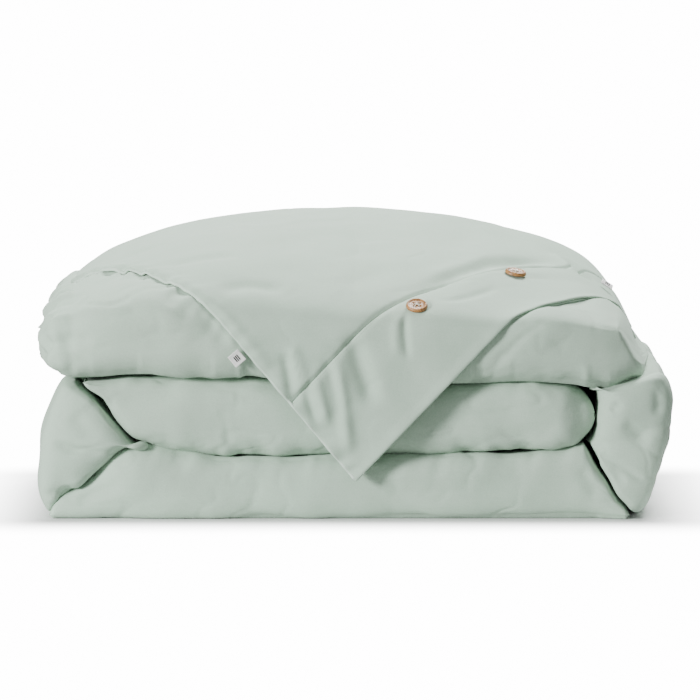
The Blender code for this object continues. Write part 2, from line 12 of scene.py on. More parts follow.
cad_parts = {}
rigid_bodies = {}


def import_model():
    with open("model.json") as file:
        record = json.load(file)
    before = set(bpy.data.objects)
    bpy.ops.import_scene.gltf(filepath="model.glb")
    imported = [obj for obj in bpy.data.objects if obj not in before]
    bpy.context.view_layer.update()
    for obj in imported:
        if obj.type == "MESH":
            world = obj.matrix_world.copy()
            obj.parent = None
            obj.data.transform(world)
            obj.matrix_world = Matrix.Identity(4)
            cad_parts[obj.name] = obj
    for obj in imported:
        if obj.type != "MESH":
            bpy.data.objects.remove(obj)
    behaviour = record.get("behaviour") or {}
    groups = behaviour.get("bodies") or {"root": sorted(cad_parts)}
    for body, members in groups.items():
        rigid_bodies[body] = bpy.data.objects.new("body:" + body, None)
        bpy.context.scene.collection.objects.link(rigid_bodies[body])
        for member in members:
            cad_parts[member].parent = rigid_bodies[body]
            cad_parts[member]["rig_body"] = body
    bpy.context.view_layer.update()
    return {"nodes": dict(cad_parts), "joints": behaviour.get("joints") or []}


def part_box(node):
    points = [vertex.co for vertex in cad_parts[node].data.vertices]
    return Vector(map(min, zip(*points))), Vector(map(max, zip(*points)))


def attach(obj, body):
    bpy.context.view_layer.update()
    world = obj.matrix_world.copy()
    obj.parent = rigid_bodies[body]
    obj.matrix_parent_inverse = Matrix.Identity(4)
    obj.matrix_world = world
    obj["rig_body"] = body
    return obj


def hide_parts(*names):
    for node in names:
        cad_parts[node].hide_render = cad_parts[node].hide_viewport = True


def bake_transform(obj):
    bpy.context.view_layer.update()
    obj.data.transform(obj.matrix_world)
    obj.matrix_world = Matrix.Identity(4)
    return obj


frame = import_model()
JOINTS = {j["name"]: (Vector(j["pos_m"]), Vector(j["axis"]).normalized()) for j in frame["joints"]}

# Places from the frame
STACK_LOW, STACK_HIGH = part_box("cover_middle_layer")
FRONT_Y, BACK_Y = STACK_LOW.y, STACK_HIGH.y
FLOOR_Z = 0.0

# The creases between the layers on the front, as (x, z); each has a layer on both sides
CREASE_LEFT_TOP = ((-0.258, 0.1275), (-0.246, 0.1175), (-0.235, 0.1080), (-0.223, 0.0900),
                   (-0.211, 0.0770), (-0.202, 0.0705), (-0.189, 0.0655))
CREASE_LEFT_LOW = ((-0.283, 0.0055), (-0.270, 0.0225), (-0.255, 0.0290), (-0.242, 0.0385),
                   (-0.225, 0.0545), (-0.215, 0.0610), (-0.200, 0.0655), (-0.189, 0.0655))
CREASE_MIDDLE = ((-0.189, 0.0650), (-0.140, 0.0590), (-0.097, 0.0580), (0.000, 0.0580),
                 (0.086, 0.0590), (0.150, 0.0615), (0.192, 0.0660), (0.210, 0.0705))
CREASE_RIGHT_LOW = ((0.210, 0.0705), (0.216, 0.0615), (0.221, 0.0515), (0.2305, 0.0360),
                    (0.239, 0.0205), (0.247, 0.0110), (0.2525, 0.0045))
CREASE_RIGHT_TOP = ((0.212, 0.1212), (0.224, 0.1213), (0.233, 0.1197), (0.242, 0.1212),
                    (0.258, 0.1285), (0.2715, 0.1330), (0.279, 0.1335))
TOP_CREASE = ((-0.290, 0.1280), (-0.272, 0.1285), (-0.235, 0.1304), (-0.2075, 0.1330),
              (-0.150, 0.1330), (-0.097, 0.1315), (-0.060, 0.1275), (0.082, 0.1243),
              (0.150, 0.1265), (0.196, 0.1240), (0.212, 0.1212), (0.224, 0.1213),
              (0.233, 0.1197), (0.242, 0.1212), (0.258, 0.1285), (0.2715, 0.1325),
              (0.2815, 0.1325))
LEFT_OUTSIDE = ((-0.2600, 0.1275), (-0.2735, 0.1185), (-0.2880, 0.0830), (-0.2900, 0.0460),
                (-0.2885, 0.0240), (-0.2830, 0.0040))
RIGHT_INSIDE = ((0.2120, 0.1212), (0.2200, 0.1165), (0.2215, 0.1050), (0.2200, 0.0925),
                (0.2200, 0.0850), (0.2165, 0.0772), (0.2102, 0.0705))
RIGHT_OUTSIDE = ((0.2795, 0.1335), (0.2850, 0.1290), (0.2905, 0.1130), (0.2910, 0.0990),
                 (0.2890, 0.0780), (0.2840, 0.0540), (0.2765, 0.0300), (0.2690, 0.0110),
                 (0.2610, 0.0010))

# The domed top, as the outer face of the cover's mouth, as the CAD has it
MOUTH_HALF_DEPTH = 0.2305
CROWN_Y = 0.119
SHOULDER_Z = 0.180
CROWN = ((-0.290, 0.186), (-0.260, 0.216), (-0.220, 0.237), (-0.170, 0.2533), (-0.100, 0.2655),
         (-0.030, 0.2702), (0.050, 0.2686), (0.120, 0.2578), (0.180, 0.2405), (0.220, 0.2221),
         (0.245, 0.1941), (0.262, 0.1602), (0.276, 0.130))
PAD_CROWN = (*CROWN[:-2], (0.262, 0.1605), (0.270, 0.1470), (0.2820, 0.1335))
FRONT_POWER = ((-0.25, 2.55), (0.0, 1.54), (0.20, 1.40))
BACK_POWER = 2.0
END_ROUNDING = 0.100
FRONT_PULL = 0.044
BACK_PULL = 0.060
CORNER_TIP_Z = 0.0375
SEAM_SLOPE = math.radians(49.95)
HEM_SLOPE = math.radians(46.3)
MOUTH_LEFT_X = -0.268
MOUTH_RIGHT_X = 0.263
MOUTH_BACK_Z = 0.170
BAND_WIDTH = 0.092

# Cloth and filling
CLOTH = 0.0012
BAND_CLOTH = 0.0020
INNER_CLOTH_FROM = 0.0024
UNDER_MOUTH = 0.0046
BESIDE_MOUTH = 0.0004
LEFT_END_X = -0.2615
LEFT_END_REACH = 0.0275
LEFT_END_Z = 0.168
TOP_RIGHT_X = 0.2790
END_DIP = 0.007
PIVOT_SHARE = 0.045
STROKE_TAPER = 0.3

# Relief of the padded layers and of the mouth's cloth, each as (height, size of a bump)
PAD_SWELLS = ((0.0028, 0.085), (0.0013, 0.036))
PAD_WRINKLES = ((0.0014, 0.080), (0.0006, 0.038))
LONG_WRINKLES = (0.0009, 0.022)
LONG_STRETCH = (0.45, 0.45, 1.0)
MOUTH_SWELLS = ((0.0016, 0.075), (0.0006, 0.030))
MOUTH_WRINKLES = ((0.0006, 0.090), (0.0004, 0.040))
MOUTH_DEEPEST, MOUTH_HIGHEST = -0.0085, 0.0040
HEM_LIFT, HEM_LIFT_REACH = 0.0016, 0.007

WAVE_SCALE = 0.314
LINING_SKIP_FIRST, LINING_SKIP_LAST, LINING_STEP = 14, 9, 3
LEFT_PIVOT = (-0.189, 0.0655)
BOTTOM_START_X = -0.283
BOTTOM_LENGTH = 0.5355
TURN_LENGTH = 0.150
END_SHRINK = 0.0022

# The camera, level with the top of the stack and far back
CAMERA_PLACE = (0.0, -6.186, 0.602)
CAMERA_TARGET = (-0.0055, -0.2003, 0.1552)
CAMERA_WIDTH = 0.6426
SENSOR = 0.036

# The bright floor starts this far from the middle, and reaches full strength over this distance
GLOW_CLEAR = (0.272, 0.212, 0.0)
GLOW_REACH = 0.15
GLOW_STRENGTH = 15.0


# ---------- lines and noise

def along(points, t):
    """Places at shares t of a smooth line's length through a few points."""
    p = np.array(points, float)
    dense = smooth_line(p)
    lengths = np.concatenate(([0.0], np.cumsum(np.linalg.norm(np.diff(dense, axis=0), axis=1))))
    t = np.asarray(t) * lengths[-1]
    return np.stack([np.interp(t, lengths, dense[:, k]) for k in range(p.shape[1])], axis=-1)


def smooth_line(p, steps=12):
    """Catmull-Rom line through the points."""
    padded = np.vstack((2 * p[0] - p[1], p, 2 * p[-1] - p[-2]))
    rows = []
    for k in range(len(p) - 1):
        a, b, c, d = padded[k:k + 4]
        t = np.linspace(0, 1, steps, endpoint=False)[:, None]
        rows.append(0.5 * (2 * b + (c - a) * t + (2 * a - 5 * b + 4 * c - d) * t**2
                           + (3 * b - a - 3 * c + d) * t**3))
    return np.vstack((*rows, p[-1:]))


def ease(t):
    """Smooth step from 0 to 1."""
    t = np.clip(t, 0, 1)
    return t * t * (3 - 2 * t)


def lattice(i, j, k, seed):
    """A fixed random value from -1 to 1 at each lattice point."""
    n = (i * 73856093) ^ (j * 19349663) ^ (k * 83492791) ^ (seed * 40503)
    n = ((n ^ (n >> 13)) * 1274126177) & 0xFFFFFFFF
    return ((n ^ (n >> 16)) & 0xFFFFFF) / 0x7FFFFF - 1.0


TURN = np.array(Matrix.Rotation(0.9, 3, Vector((0.6, 0.5, 0.62))))


def noise(points, size, seed):
    """Smooth noise from -1 to 1 with bumps of about the given size."""
    q = (np.asarray(points) @ TURN) / size + 1000.0
    base = np.floor(q).astype(np.int64)
    f = q - base
    f = f**3 * (f * (6 * f - 15) + 10)
    total = np.zeros(q.shape[:-1])
    for corner in range(8):
        d = np.array((corner & 1, corner >> 1 & 1, corner >> 2 & 1))
        weight = np.prod(np.where(d, f, 1 - f), axis=-1)
        total += weight * lattice(*(base[..., k] + d[k] for k in range(3)), seed)
    return 1.6 * total


def ridged(points, size, seed):
    """Noise with soft creases: 0 on most of it, 1 along short wandering lines."""
    drift = np.stack([noise(points, 0.6 * size, seed + k) for k in (101, 102, 103)], axis=-1)
    at = np.asarray(points) + 0.22 * size * drift
    patch = ease(0.5 + 1.2 * noise(points, 1.3 * size, seed + 104))
    return patch * np.clip(1 - 3.0 * np.abs(noise(at, size, seed)), 0, 1) ** 1.3


def swells(points, bumps, wrinkles, seed):
    """Two sizes of soft bump less two sizes of wrinkle."""
    (h0, s0), (h1, s1) = bumps
    (h2, s2), (h3, s3) = wrinkles
    out = h0 * noise(points, s0, seed) + h1 * noise(points, s1, seed + 1)
    return out - (h2 * ridged(points, s2, seed + 2) + h3 * ridged(points, s3, seed + 3))


def line_distance(points, line):
    """Distance from 2-D points to a line, and the length along the line of the nearest place."""
    line = smooth_line(np.array(line, float), 6)
    best = np.full(points.shape[:-1], 9.0)
    place = np.zeros(points.shape[:-1])
    start = 0.0
    for a, b in zip(line, line[1:]):
        d = b - a
        length = np.linalg.norm(d)
        t = np.clip(((points - a) @ d) / length**2, 0, 1)
        far = np.linalg.norm(points - (a + t[..., None] * d), axis=-1)
        nearer = far < best
        best = np.where(nearer, far, best)
        place = np.where(nearer, start + t * length, place)
        start += length
    return best, place, start


def stroke(points, line, width, depth):
    """A soft valley (depth below 0 makes a ridge) along a line, fading out at its ends."""
    far, place, length = line_distance(points, line)
    share = place / length
    fade = ease(share / STROKE_TAPER) * ease((1 - share) / STROKE_TAPER)
    return -depth * np.exp(-(far / width) ** 2) * fade


def gathers(points, line, reach, depth, pitch, seed):
    """Small puckers square to a seam line, fading out away from it."""
    far, place, _ = line_distance(points, line)
    at = np.stack((place + 0.25 * far, 0.3 * far, 0 * far), axis=-1)
    pinch = 0.5 + 0.5 * noise(at, pitch, seed)
    return -depth * pinch * np.exp(-(far / reach) ** 1.4)


# ---------- the domed top

def smooth_through(points, x):
    """Smooth height at x through a few (x, z) points, held level past the ends."""
    if x <= points[0][0]:
        return points[0][1]
    if x >= points[-1][0]:
        return points[-1][1]
    index = max(i for i in range(len(points) - 1) if points[i][0] <= x)

    def slope(i):
        if i == 0 or i == len(points) - 1:
            j = 1 if i == 0 else i
            return (points[j][1] - points[j - 1][1]) / (points[j][0] - points[j - 1][0])
        return (points[i + 1][1] - points[i - 1][1]) / (points[i + 1][0] - points[i - 1][0])

    (x0, z0), (x1, z1) = points[index], points[index + 1]
    width = x1 - x0
    t = (x - x0) / width
    return ((2 * t**3 - 3 * t**2 + 1) * z0 + (t**3 - 2 * t**2 + t) * width * slope(index)
            + (3 * t**2 - 2 * t**3) * z1 + (t**3 - t**2) * width * slope(index + 1))


def dome_outline(x, steps=160, crown=CROWN):
    """Outline (y, z) of the mouth's cloth at x: up the front, over the crown, down the back."""
    from_end = min(x - CROWN[0][0], CROWN[-1][0] - x) / END_ROUNDING
    pull = 1 - math.sqrt(1 - (1 - min(max(from_end, 0.0), 1.0)) ** 2)
    front = MOUTH_HALF_DEPTH + CROWN_Y - FRONT_PULL * pull
    back = MOUTH_HALF_DEPTH - CROWN_Y - BACK_PULL * pull
    top = smooth_through(crown, x)
    rise = max(top - SHOULDER_Z, 0.016)
    shoulder = top - rise
    up = np.linspace(CORNER_TIP_Z, shoulder, 24, endpoint=False)
    angle = np.linspace(0, math.pi, steps)
    c, n = np.cos(angle), np.abs(np.sin(angle))
    power = np.where(c > 0, np.interp(x, *zip(*FRONT_POWER)), BACK_POWER)
    y = CROWN_Y - np.sign(c) * np.abs(c) ** (2 / power) * np.where(c > 0, front, back)
    z = shoulder + rise * n ** (2 / power)
    rough = np.concatenate((np.stack((np.full(24, CROWN_Y - front), up), 1),
                            np.stack((y, z), 1),
                            [(CROWN_Y + back, min(MOUTH_BACK_Z, shoulder - 0.004))]))
    return rounded(rough)


def rounded(outline, count=220, reach=0.020):
    """An outline with evenly spaced points and its corners softened over a reach."""
    lengths = outline_lengths(outline)
    s = np.linspace(0, lengths[-1], count)
    even = np.stack((np.interp(s, lengths, outline[:, 0]), np.interp(s, lengths, outline[:, 1])), 1)
    half = max(int(reach / s[1]), 1)
    kernel = np.hanning(2 * half + 3)[1:-1]
    kernel /= kernel.sum()
    before = 2 * even[:1] - even[half:0:-1]
    after = 2 * even[-1:] - even[-2:-half - 2:-1]
    longer = np.concatenate((before, even, after))
    return np.stack([np.convolve(longer[:, k], kernel, mode="valid") for k in (0, 1)], 1)


def outline_lengths(outline):
    """Length along an outline up to each of its points."""
    return np.concatenate(([0.0], np.cumsum(np.linalg.norm(np.diff(outline, axis=0), axis=1))))


def cloth_places(x, s):
    """Points of the smooth mouth cloth at unrolled places: x of any shape, s up from the tip."""
    places = np.empty((*x.shape, 3))
    flat_x, flat_s, out = x.ravel(), s.ravel(), places.reshape(-1, 3)
    columns, inverse = np.unique(np.round(flat_x, 4), return_inverse=True)
    for index, column in enumerate(columns):
        here = np.flatnonzero(inverse == index)
        outline = dome_outline(column)
        lengths = outline_lengths(outline)
        out[here, 1] = np.interp(flat_s[here], lengths, outline[:, 0])
        out[here, 2] = np.interp(flat_s[here], lengths, outline[:, 1])
    out[:, 0] = flat_x
    return places


def outward(x, s):
    """Unit normals of the smooth mouth cloth."""
    step = 0.003
    across = cloth_places(x + step, s) - cloth_places(x - step, s)
    up = cloth_places(x, s + step) - cloth_places(x, np.maximum(s - step, 0))
    n = np.cross(across, up)
    return n / np.linalg.norm(n, axis=-1, keepdims=True)


def side_seam_s(x):
    """Unrolled height of the side seam at x."""
    return -x * math.tan(SEAM_SLOPE)


def band_point(t, w):
    """Unrolled place (x, s) at t along the hem from the corner's tip and w in from the hem."""
    c, n = math.cos(HEM_SLOPE), math.sin(HEM_SLOPE)
    return t * c - w * n, t * n + w * c


SEAM_LINE = ((0.0, 0.0), (-0.130, 0.1547), (-0.268, 0.3189))
BAND_LINE = (band_point(0.010, BAND_WIDTH), band_point(0.200, BAND_WIDTH),
             band_point(0.400, BAND_WIDTH))
HEM_LINE = (band_point(0.0, 0.0), band_point(0.200, 0.0), band_point(0.380, 0.0))

# Folds of the mouth's cloth, on the unrolled cloth: line, width and depth
MOUTH_FOLDS = (
    (((-0.060, 0.128), (-0.052, 0.102), (-0.045, 0.078)), 0.0048, -0.0032),
    (((-0.066, 0.120), (-0.061, 0.095), (-0.058, 0.070)), 0.0050, 0.0036),
    (((-0.040, 0.102), (-0.031, 0.072), (-0.024, 0.046)), 0.0048, -0.0034),
    (((-0.048, 0.092), (-0.041, 0.068), (-0.034, 0.048)), 0.0042, 0.0030),
    (((-0.020, 0.122), (-0.012, 0.069), (-0.004, 0.014)), 0.0062, -0.0042),
    (((-0.007, 0.140), (0.005, 0.103), (0.018, 0.064)), 0.0090, 0.0060),
    (((-0.030, 0.120), (-0.020, 0.090), (-0.012, 0.050)), 0.0050, 0.0026),
    (((0.056, 0.186), (0.082, 0.226), (0.114, 0.272), (0.154, 0.326), (0.200, 0.356)),
     0.0100, 0.0070),
    (((0.064, 0.214), (0.100, 0.262), (0.140, 0.330)), 0.0120, -0.0030),
    (((0.196, 0.392), (0.210, 0.351), (0.224, 0.318)), 0.0062, 0.0055),
    (((0.184, 0.390), (0.198, 0.356), (0.212, 0.326)), 0.0052, -0.0030),
    (((0.046, 0.160), (0.045, 0.138), (0.048, 0.108)), 0.0034, 0.0026),
    (((0.040, 0.156), (0.036, 0.136), (0.038, 0.112)), 0.0040, -0.0014),
    (((0.070, 0.172), (0.100, 0.186), (0.136, 0.222)), 0.0050, 0.0018),
    (((-0.128, 0.178), (-0.100, 0.192), (-0.060, 0.184)), 0.0090, 0.0030),
    (((-0.178, 0.236), (-0.148, 0.256), (-0.104, 0.262)), 0.0100, 0.0026),
    (((-0.238, 0.296), (-0.214, 0.322), (-0.180, 0.336)), 0.0100, 0.0030),
    (((-0.020, 0.190), (0.010, 0.220), (0.030, 0.262)), 0.0160, 0.0020),
)


def mouth_relief(x, s):
    """How far the mouth's cloth stands out from, or sinks below, its smooth shape."""
    places = np.stack((x, s), axis=-1)
    solid = np.stack((x, s, 0 * x), axis=-1)
    out = swells(solid, MOUTH_SWELLS, MOUTH_WRINKLES, 11)
    for line, width, depth in MOUTH_FOLDS:
        out += stroke(places, line, width, depth)
    out += gathers(places, SEAM_LINE, 0.014, 0.0030, 0.0095, 15)
    out += gathers(places, BAND_LINE, 0.007, 0.0007, 0.0100, 16)
    from_hem = (s - x * math.tan(HEM_SLOPE)) * math.cos(HEM_SLOPE)
    out += HEM_LIFT * np.exp(-(from_hem / HEM_LIFT_REACH) ** 2)
    out += gathers(places, HEM_LINE, 0.010, 0.0010, 0.0160, 17)
    return np.clip(out, MOUTH_DEEPEST, MOUTH_HIGHEST)


# ---------- meshes

def mesh_object(name, vertices, faces, mat):
    """A smooth-shaded mesh from points and faces, with the given material."""
    mesh = bpy.data.meshes.new(name)
    mesh.from_pydata(np.asarray(vertices).reshape(-1, 3).tolist(), [], faces)
    bm = bmesh.new()
    bm.from_mesh(mesh)
    bmesh.ops.recalc_face_normals(bm, faces=bm.faces[:])
    bm.to_mesh(mesh)
    bm.free()
    mesh.shade_smooth()
    mesh.materials.append(mat)
    obj = bpy.data.objects.new(name, mesh)
    bpy.context.scene.collection.objects.link(obj)
    return obj


def quads(rows, columns, start=0, wrap=False):
    """Quads over a grid of points whose numbers run along each row."""
    last = columns if wrap else columns - 1
    i, j = np.meshgrid(np.arange(rows - 1), np.arange(last), indexing="ij")
    n = (j + 1) % columns
    face = np.stack((i * columns + j, i * columns + n, (i + 1) * columns + n,
                     (i + 1) * columns + j), axis=-1)
    return (face.reshape(-1, 4) + start).tolist()


def tube_faces(rows, columns, start=0):
    """Faces of a closed body through rings of points, capped at its ends."""
    last = start + (rows - 1) * columns
    return [*quads(rows, columns, start, wrap=True), list(range(start, start + columns)),
            list(range(last, last + columns))]


def closed_tube(name, grid, mat):
    """A closed body through rings of points."""
    return mesh_object(name, grid, tube_faces(*grid.shape[:2]), mat)


def edge_loop(rows, columns):
    """Grid positions round the border of a grid."""
    loop = [(0, j) for j in range(columns - 1)]
    loop += [(i, columns - 1) for i in range(rows - 1)]
    loop += [(rows - 1, j) for j in range(columns - 1, 0, -1)]
    return loop + [(i, 0) for i in range(rows - 1, 0, -1)]


def closed_sheet(name, top, under, mat, slot):
    """Cloth with two faces and a rounded rim between them."""
    rows, columns = top.shape[:2]
    count = rows * columns
    loop = edge_loop(rows, columns)
    rim = []
    for i, j in loop:
        inner = (min(max(i, 1), rows - 2), min(max(j, 1), columns - 2))
        middle = (top[i, j] + under[i, j]) / 2
        out = middle - (top[inner] + under[inner]) / 2
        reach = 0.5 * np.linalg.norm(top[i, j] - under[i, j])
        rim.append(middle + out / max(np.linalg.norm(out), 1e-9) * reach)
    faces = quads(rows, columns)
    faces += [face[::-1] for face in quads(rows, columns, count)]
    numbers = [i * columns + j for i, j in loop]
    for k, here in enumerate(numbers):
        n = (k + 1) % len(numbers)
        there = numbers[n]
        faces.append([here, there, 2 * count + n, 2 * count + k])
        faces.append([2 * count + k, 2 * count + n, there + count, here + count])
    points = np.concatenate((top.reshape(-1, 3), under.reshape(-1, 3), np.array(rim)))
    return mesh_object(name, points, faces, mat)


def tube_along(name, path, radius, mat, sides=10):
    """A round bead along a path of points; radius is one value or one for each point."""
    path = np.asarray(path, float)
    radius = np.broadcast_to(radius, len(path))
    tangent = np.gradient(path, axis=0)
    tangent /= np.linalg.norm(tangent, axis=1, keepdims=True)
    side = np.cross(tangent, (0.0, 0.0, 1.0))
    side /= np.maximum(np.linalg.norm(side, axis=1, keepdims=True), 1e-9)
    up = np.cross(side, tangent)
    angle = np.linspace(0, 2 * math.pi, sides, endpoint=False)
    ring = (np.cos(angle)[None, :, None] * side[:, None] + np.sin(angle)[None, :, None]
            * up[:, None])
    grid = path[:, None] + ring * radius[:, None, None]
    return closed_tube(name, grid, mat)


# ---------- materials

def new_material(name):
    """A node material and its Principled shader."""
    mat = bpy.data.materials.new(name)
    mat.use_nodes = True
    return mat, mat.node_tree.nodes["Principled BSDF"]


def feed(mat, node, inputs):
    """Set inputs of a node, each to a value or from another node's output."""
    for key, value in inputs.items():
        if isinstance(value, bpy.types.NodeSocket):
            mat.node_tree.links.new(value, node.inputs[key])
        else:
            node.inputs[key].default_value = value


def add_node(mat, kind, inputs, output=0, **settings):
    """A new node with its settings and inputs, as the output that is wanted from it."""
    node = mat.node_tree.nodes.new("ShaderNode" + kind)
    for key, value in settings.items():
        setattr(node, key, value)
    feed(mat, node, inputs)
    return node.outputs[output]


def node_mix(mat, factor, a, b):
    """A mix of two colours; each is a colour or an output."""
    a, b = ((*c, 1.0) if isinstance(c, tuple) else c for c in (a, b))
    return add_node(mat, "Mix", {0: factor, 6: a, 7: b}, 2, data_type="RGBA")


def node_noise(mat, where, scale, detail=3.0):
    """A noise texture's value."""
    return add_node(mat, "TexNoise", {"Scale": scale, "Detail": detail, "Vector": where}, "Fac")


def node_ramp(mat, value, low, high):
    """Value mapped so that low becomes 0 and high becomes 1."""
    return add_node(mat, "MapRange", {"From Min": low, "From Max": high, "Value": value})


def node_weave(mat, where, pitch, turn):
    """Fine threads that cross each other, as one height."""
    total = None
    for angles in ((0.0, 0.0, turn), (math.radians(88), 0.0, turn), (0.0, math.radians(87), turn)):
        spun = add_node(mat, "Mapping", {"Rotation": angles, "Vector": where})
        wave = add_node(mat, "TexWave", {"Scale": WAVE_SCALE / pitch, "Distortion": 0.6,
                                         "Detail": 1.0, "Vector": spun}, "Fac",
                        bands_direction="X")
        total = wave if total is None else add_node(mat, "Math", {0: total, 1: wave},
                                                    operation="ADD")
    return total


def cloth_material(name, colour, shade, tint, roughness=0.82, sheen=0.12, pitch=0.0007,
                   bump=0.25, turn=0.1):
    """Woven cloth: colour, a darker shade and a warmer tint in patches, weave, slubs and sheen."""
    mat, shader = new_material(name)
    where = add_node(mat, "TexCoord", {}, "Object")
    patches = node_ramp(mat, node_noise(mat, where, 7.0), 0.35, 0.65)
    slubs = node_ramp(mat, node_noise(mat, where, 900.0, 2.0), 0.30, 0.80)
    rough = add_node(mat, "MapRange", {"To Min": roughness - 0.06, "To Max": roughness + 0.06,
                                       "Value": node_noise(mat, where, 60.0)})
    fine = add_node(mat, "Bump", {"Strength": bump, "Distance": 0.00012,
                                  "Height": node_weave(mat, where, pitch, turn)})
    soft = add_node(mat, "Bump", {"Strength": 0.25, "Distance": 0.0012,
                                  "Height": node_noise(mat, where, 90.0, 4.0), "Normal": fine})
    feed(mat, shader, {
        "Base Color": node_mix(mat, slubs, node_mix(mat, patches, colour, tint), shade),
        "Roughness": rough, "Sheen Weight": sheen, "Sheen Roughness": 0.45,
        "Specular IOR Level": 0.25, "Normal": soft})
    return mat


def coconut_material():
    """Coconut shell: warm tan with fine darker fibres, half polished."""
    mat, shader = new_material("coconut")
    where = add_node(mat, "TexCoord", {}, "Object")
    long = add_node(mat, "Mapping", {"Scale": (1.0, 4.0, 4.0), "Vector": where})
    fibres = node_ramp(mat, node_noise(mat, long, 220.0, 5.0), 0.42, 0.62)
    cloud = node_ramp(mat, node_noise(mat, where, 120.0), 0.3, 0.7)
    base = node_mix(mat, cloud, (0.50, 0.245, 0.080), (0.38, 0.175, 0.052))
    feed(mat, shader, {
        "Base Color": node_mix(mat, fibres, base, (0.20, 0.085, 0.028)), "Roughness": 0.42,
        "Normal": add_node(mat, "Bump", {"Strength": 0.3, "Distance": 0.0002,
                                         "Height": fibres})})
    return mat


COTTON = cloth_material("cotton_cover", (0.450, 0.585, 0.475), (0.400, 0.530, 0.425),
                        (0.470, 0.590, 0.485))
# The rolled side seam's cotton: the cover's cotton painted lighter, a painted highlight along the
# rolled edge
COTTON_SEAM_PAINTED_HIGHLIGHT = cloth_material("cotton_seam_painted_highlight", (0.560, 0.670, 0.580), (0.490, 0.600, 0.510),
                             (0.570, 0.675, 0.590), turn=0.8)
CASING = cloth_material("casing_cotton", (0.80, 0.80, 0.78), (0.72, 0.72, 0.70),
                        (0.82, 0.81, 0.79), pitch=0.0005)
FILLING = cloth_material("filling_fleece", (0.86, 0.86, 0.84), (0.78, 0.78, 0.76),
                         (0.88, 0.87, 0.85), pitch=0.0016, bump=0.6, sheen=0.6)
TAPE = cloth_material("label_tape", (0.84, 0.84, 0.82), (0.74, 0.74, 0.72),
                      (0.86, 0.86, 0.84), pitch=0.0004, bump=0.4)
YARN = cloth_material("sewing_yarn", (0.74, 0.70, 0.58), (0.60, 0.55, 0.44),
                      (0.78, 0.74, 0.62), pitch=0.0003, bump=0.6)
SAGE_YARN = cloth_material("sage_yarn", (0.58, 0.63, 0.58), (0.46, 0.51, 0.46),
                           (0.60, 0.65, 0.60), pitch=0.0003, bump=0.6)
DARK_YARN = cloth_material("dark_yarn", (0.030, 0.032, 0.030), (0.012, 0.012, 0.012),
                           (0.040, 0.042, 0.040), pitch=0.0003, bump=0.6)
COCONUT = coconut_material()


# ---------- padded layers

def ring_profile(soft_front, soft_back, power=2.7):
    """Round a layer's section: v (0 inner face, 1 outer face) and y as shares and offset."""
    a = np.linspace(-math.pi / 2, math.pi / 2, 46)
    v = 0.5 + 0.5 * np.sign(np.sin(a)) * np.abs(np.sin(a)) ** (2 / power)
    off = 1 - np.cos(a) ** (2 / power)
    flat = np.linspace(0, 1, 56)[1:-1]
    front = np.stack((v, 0 * a, soft_front * off), 1)
    outer = np.stack((0 * flat + 1, flat, soft_front * (1 - flat) - soft_back * flat), 1)
    back = np.stack((v[::-1], 0 * a + 1, -soft_back * off[::-1]), 1)[::2]
    inner = np.stack((0 * flat, flat[::-1], soft_front * (1 - flat[::-1])
                      - soft_back * flat[::-1]), 1)[::2]
    return np.concatenate((front, outer, back, inner))


def stations(length, end=0.012, step=0.0024):
    """Shares along a layer, closer together in its rounded ends."""
    near = np.linspace(0, end, 9)[:-1]
    middle = np.linspace(end, length - end, max(int((length - 2 * end) / step), 4))
    return np.concatenate((near, middle, length - near[::-1])) / length


def layer_grid(place, length, front, back, soft_front=0.026, soft_back=0.030, end=0.012):
    """Rings of a padded layer; place(u, v) gives its (x, z) and front(u), back(u) its reach."""
    profile = ring_profile(soft_front, soft_back)
    rings = []
    for u in stations(length, end):
        near = min(u, 1 - u) * length / end
        k = math.sqrt(max(1 - (1 - min(near, 1.0)) ** 2, 0.0))
        low, high = front(u) + END_DIP * (1 - k), back(u) - END_DIP * (1 - k)
        thick = np.linalg.norm(np.diff(place(u, np.array((0.0, 1.0))), axis=0))
        v = 0.5 + (profile[:, 0] - 0.5) * (1 - min(2 * END_SHRINK * (1 - k) / thick, 0.4))
        soft = min(1.0, 0.25 + thick / 0.066)
        y = low * (1 - profile[:, 1]) + high * profile[:, 1] + soft * profile[:, 2]
        xz = place(u, v)
        rings.append(np.stack((xz[:, 0], y, xz[:, 1]), 1))
    return np.array(rings)


def ring_normals(grid):
    """Unit normals of a tube grid, whose rings close on themselves."""
    wrapped = np.concatenate((grid[:, -1:], grid, grid[:, :1]), axis=1)
    around = (np.roll(grid, -1, axis=1) - np.roll(grid, 1, axis=1))
    lengthways = np.gradient(wrapped, axis=0)[:, 1:-1]
    n = np.cross(lengthways, around)
    n /= np.maximum(np.linalg.norm(n, axis=-1, keepdims=True), 1e-12)
    centre = grid.mean(axis=1, keepdims=True)
    flip = np.sign(((grid - centre) * n).sum(axis=-1).mean())
    return n * flip


def soften(grid, normals, strokes, seams, seed):
    """Cloth relief on a padded layer: long swells, soft wrinkles, creases and seam puckers."""
    face = grid[..., (0, 2)]
    facing = ease((-normals[..., 1] + 0.15) / 0.6) * (grid[..., 1] < -0.05)
    out = swells(grid, PAD_SWELLS, PAD_WRINKLES, seed)
    height, size = LONG_WRINKLES
    out -= height * ridged(grid * LONG_STRETCH, size, seed + 6)
    for line, width, depth in strokes:
        out += facing * stroke(face, line, width, depth)
    for line, reach, depth, pitch in seams:
        out += facing * gathers(face, line, reach, depth, pitch, seed + 5)
    return out


def between(low, high):
    """A place function: u along two lines of (x, z) points, v from the low one to the high one."""
    def place(u, v):
        a, b = along(low, u), along(high, u)
        return a + (b - a) * np.asarray(v)[:, None]
    return place


def heights(low, high, x_ends):
    """A place function by x: v from one height line to another."""
    def place(u, v):
        x = x_ends[0] + (x_ends[1] - x_ends[0]) * u
        a, b = low(x), high(x)
        return np.stack((np.full(len(v), x), a + (b - a) * np.asarray(v)), 1)
    return place


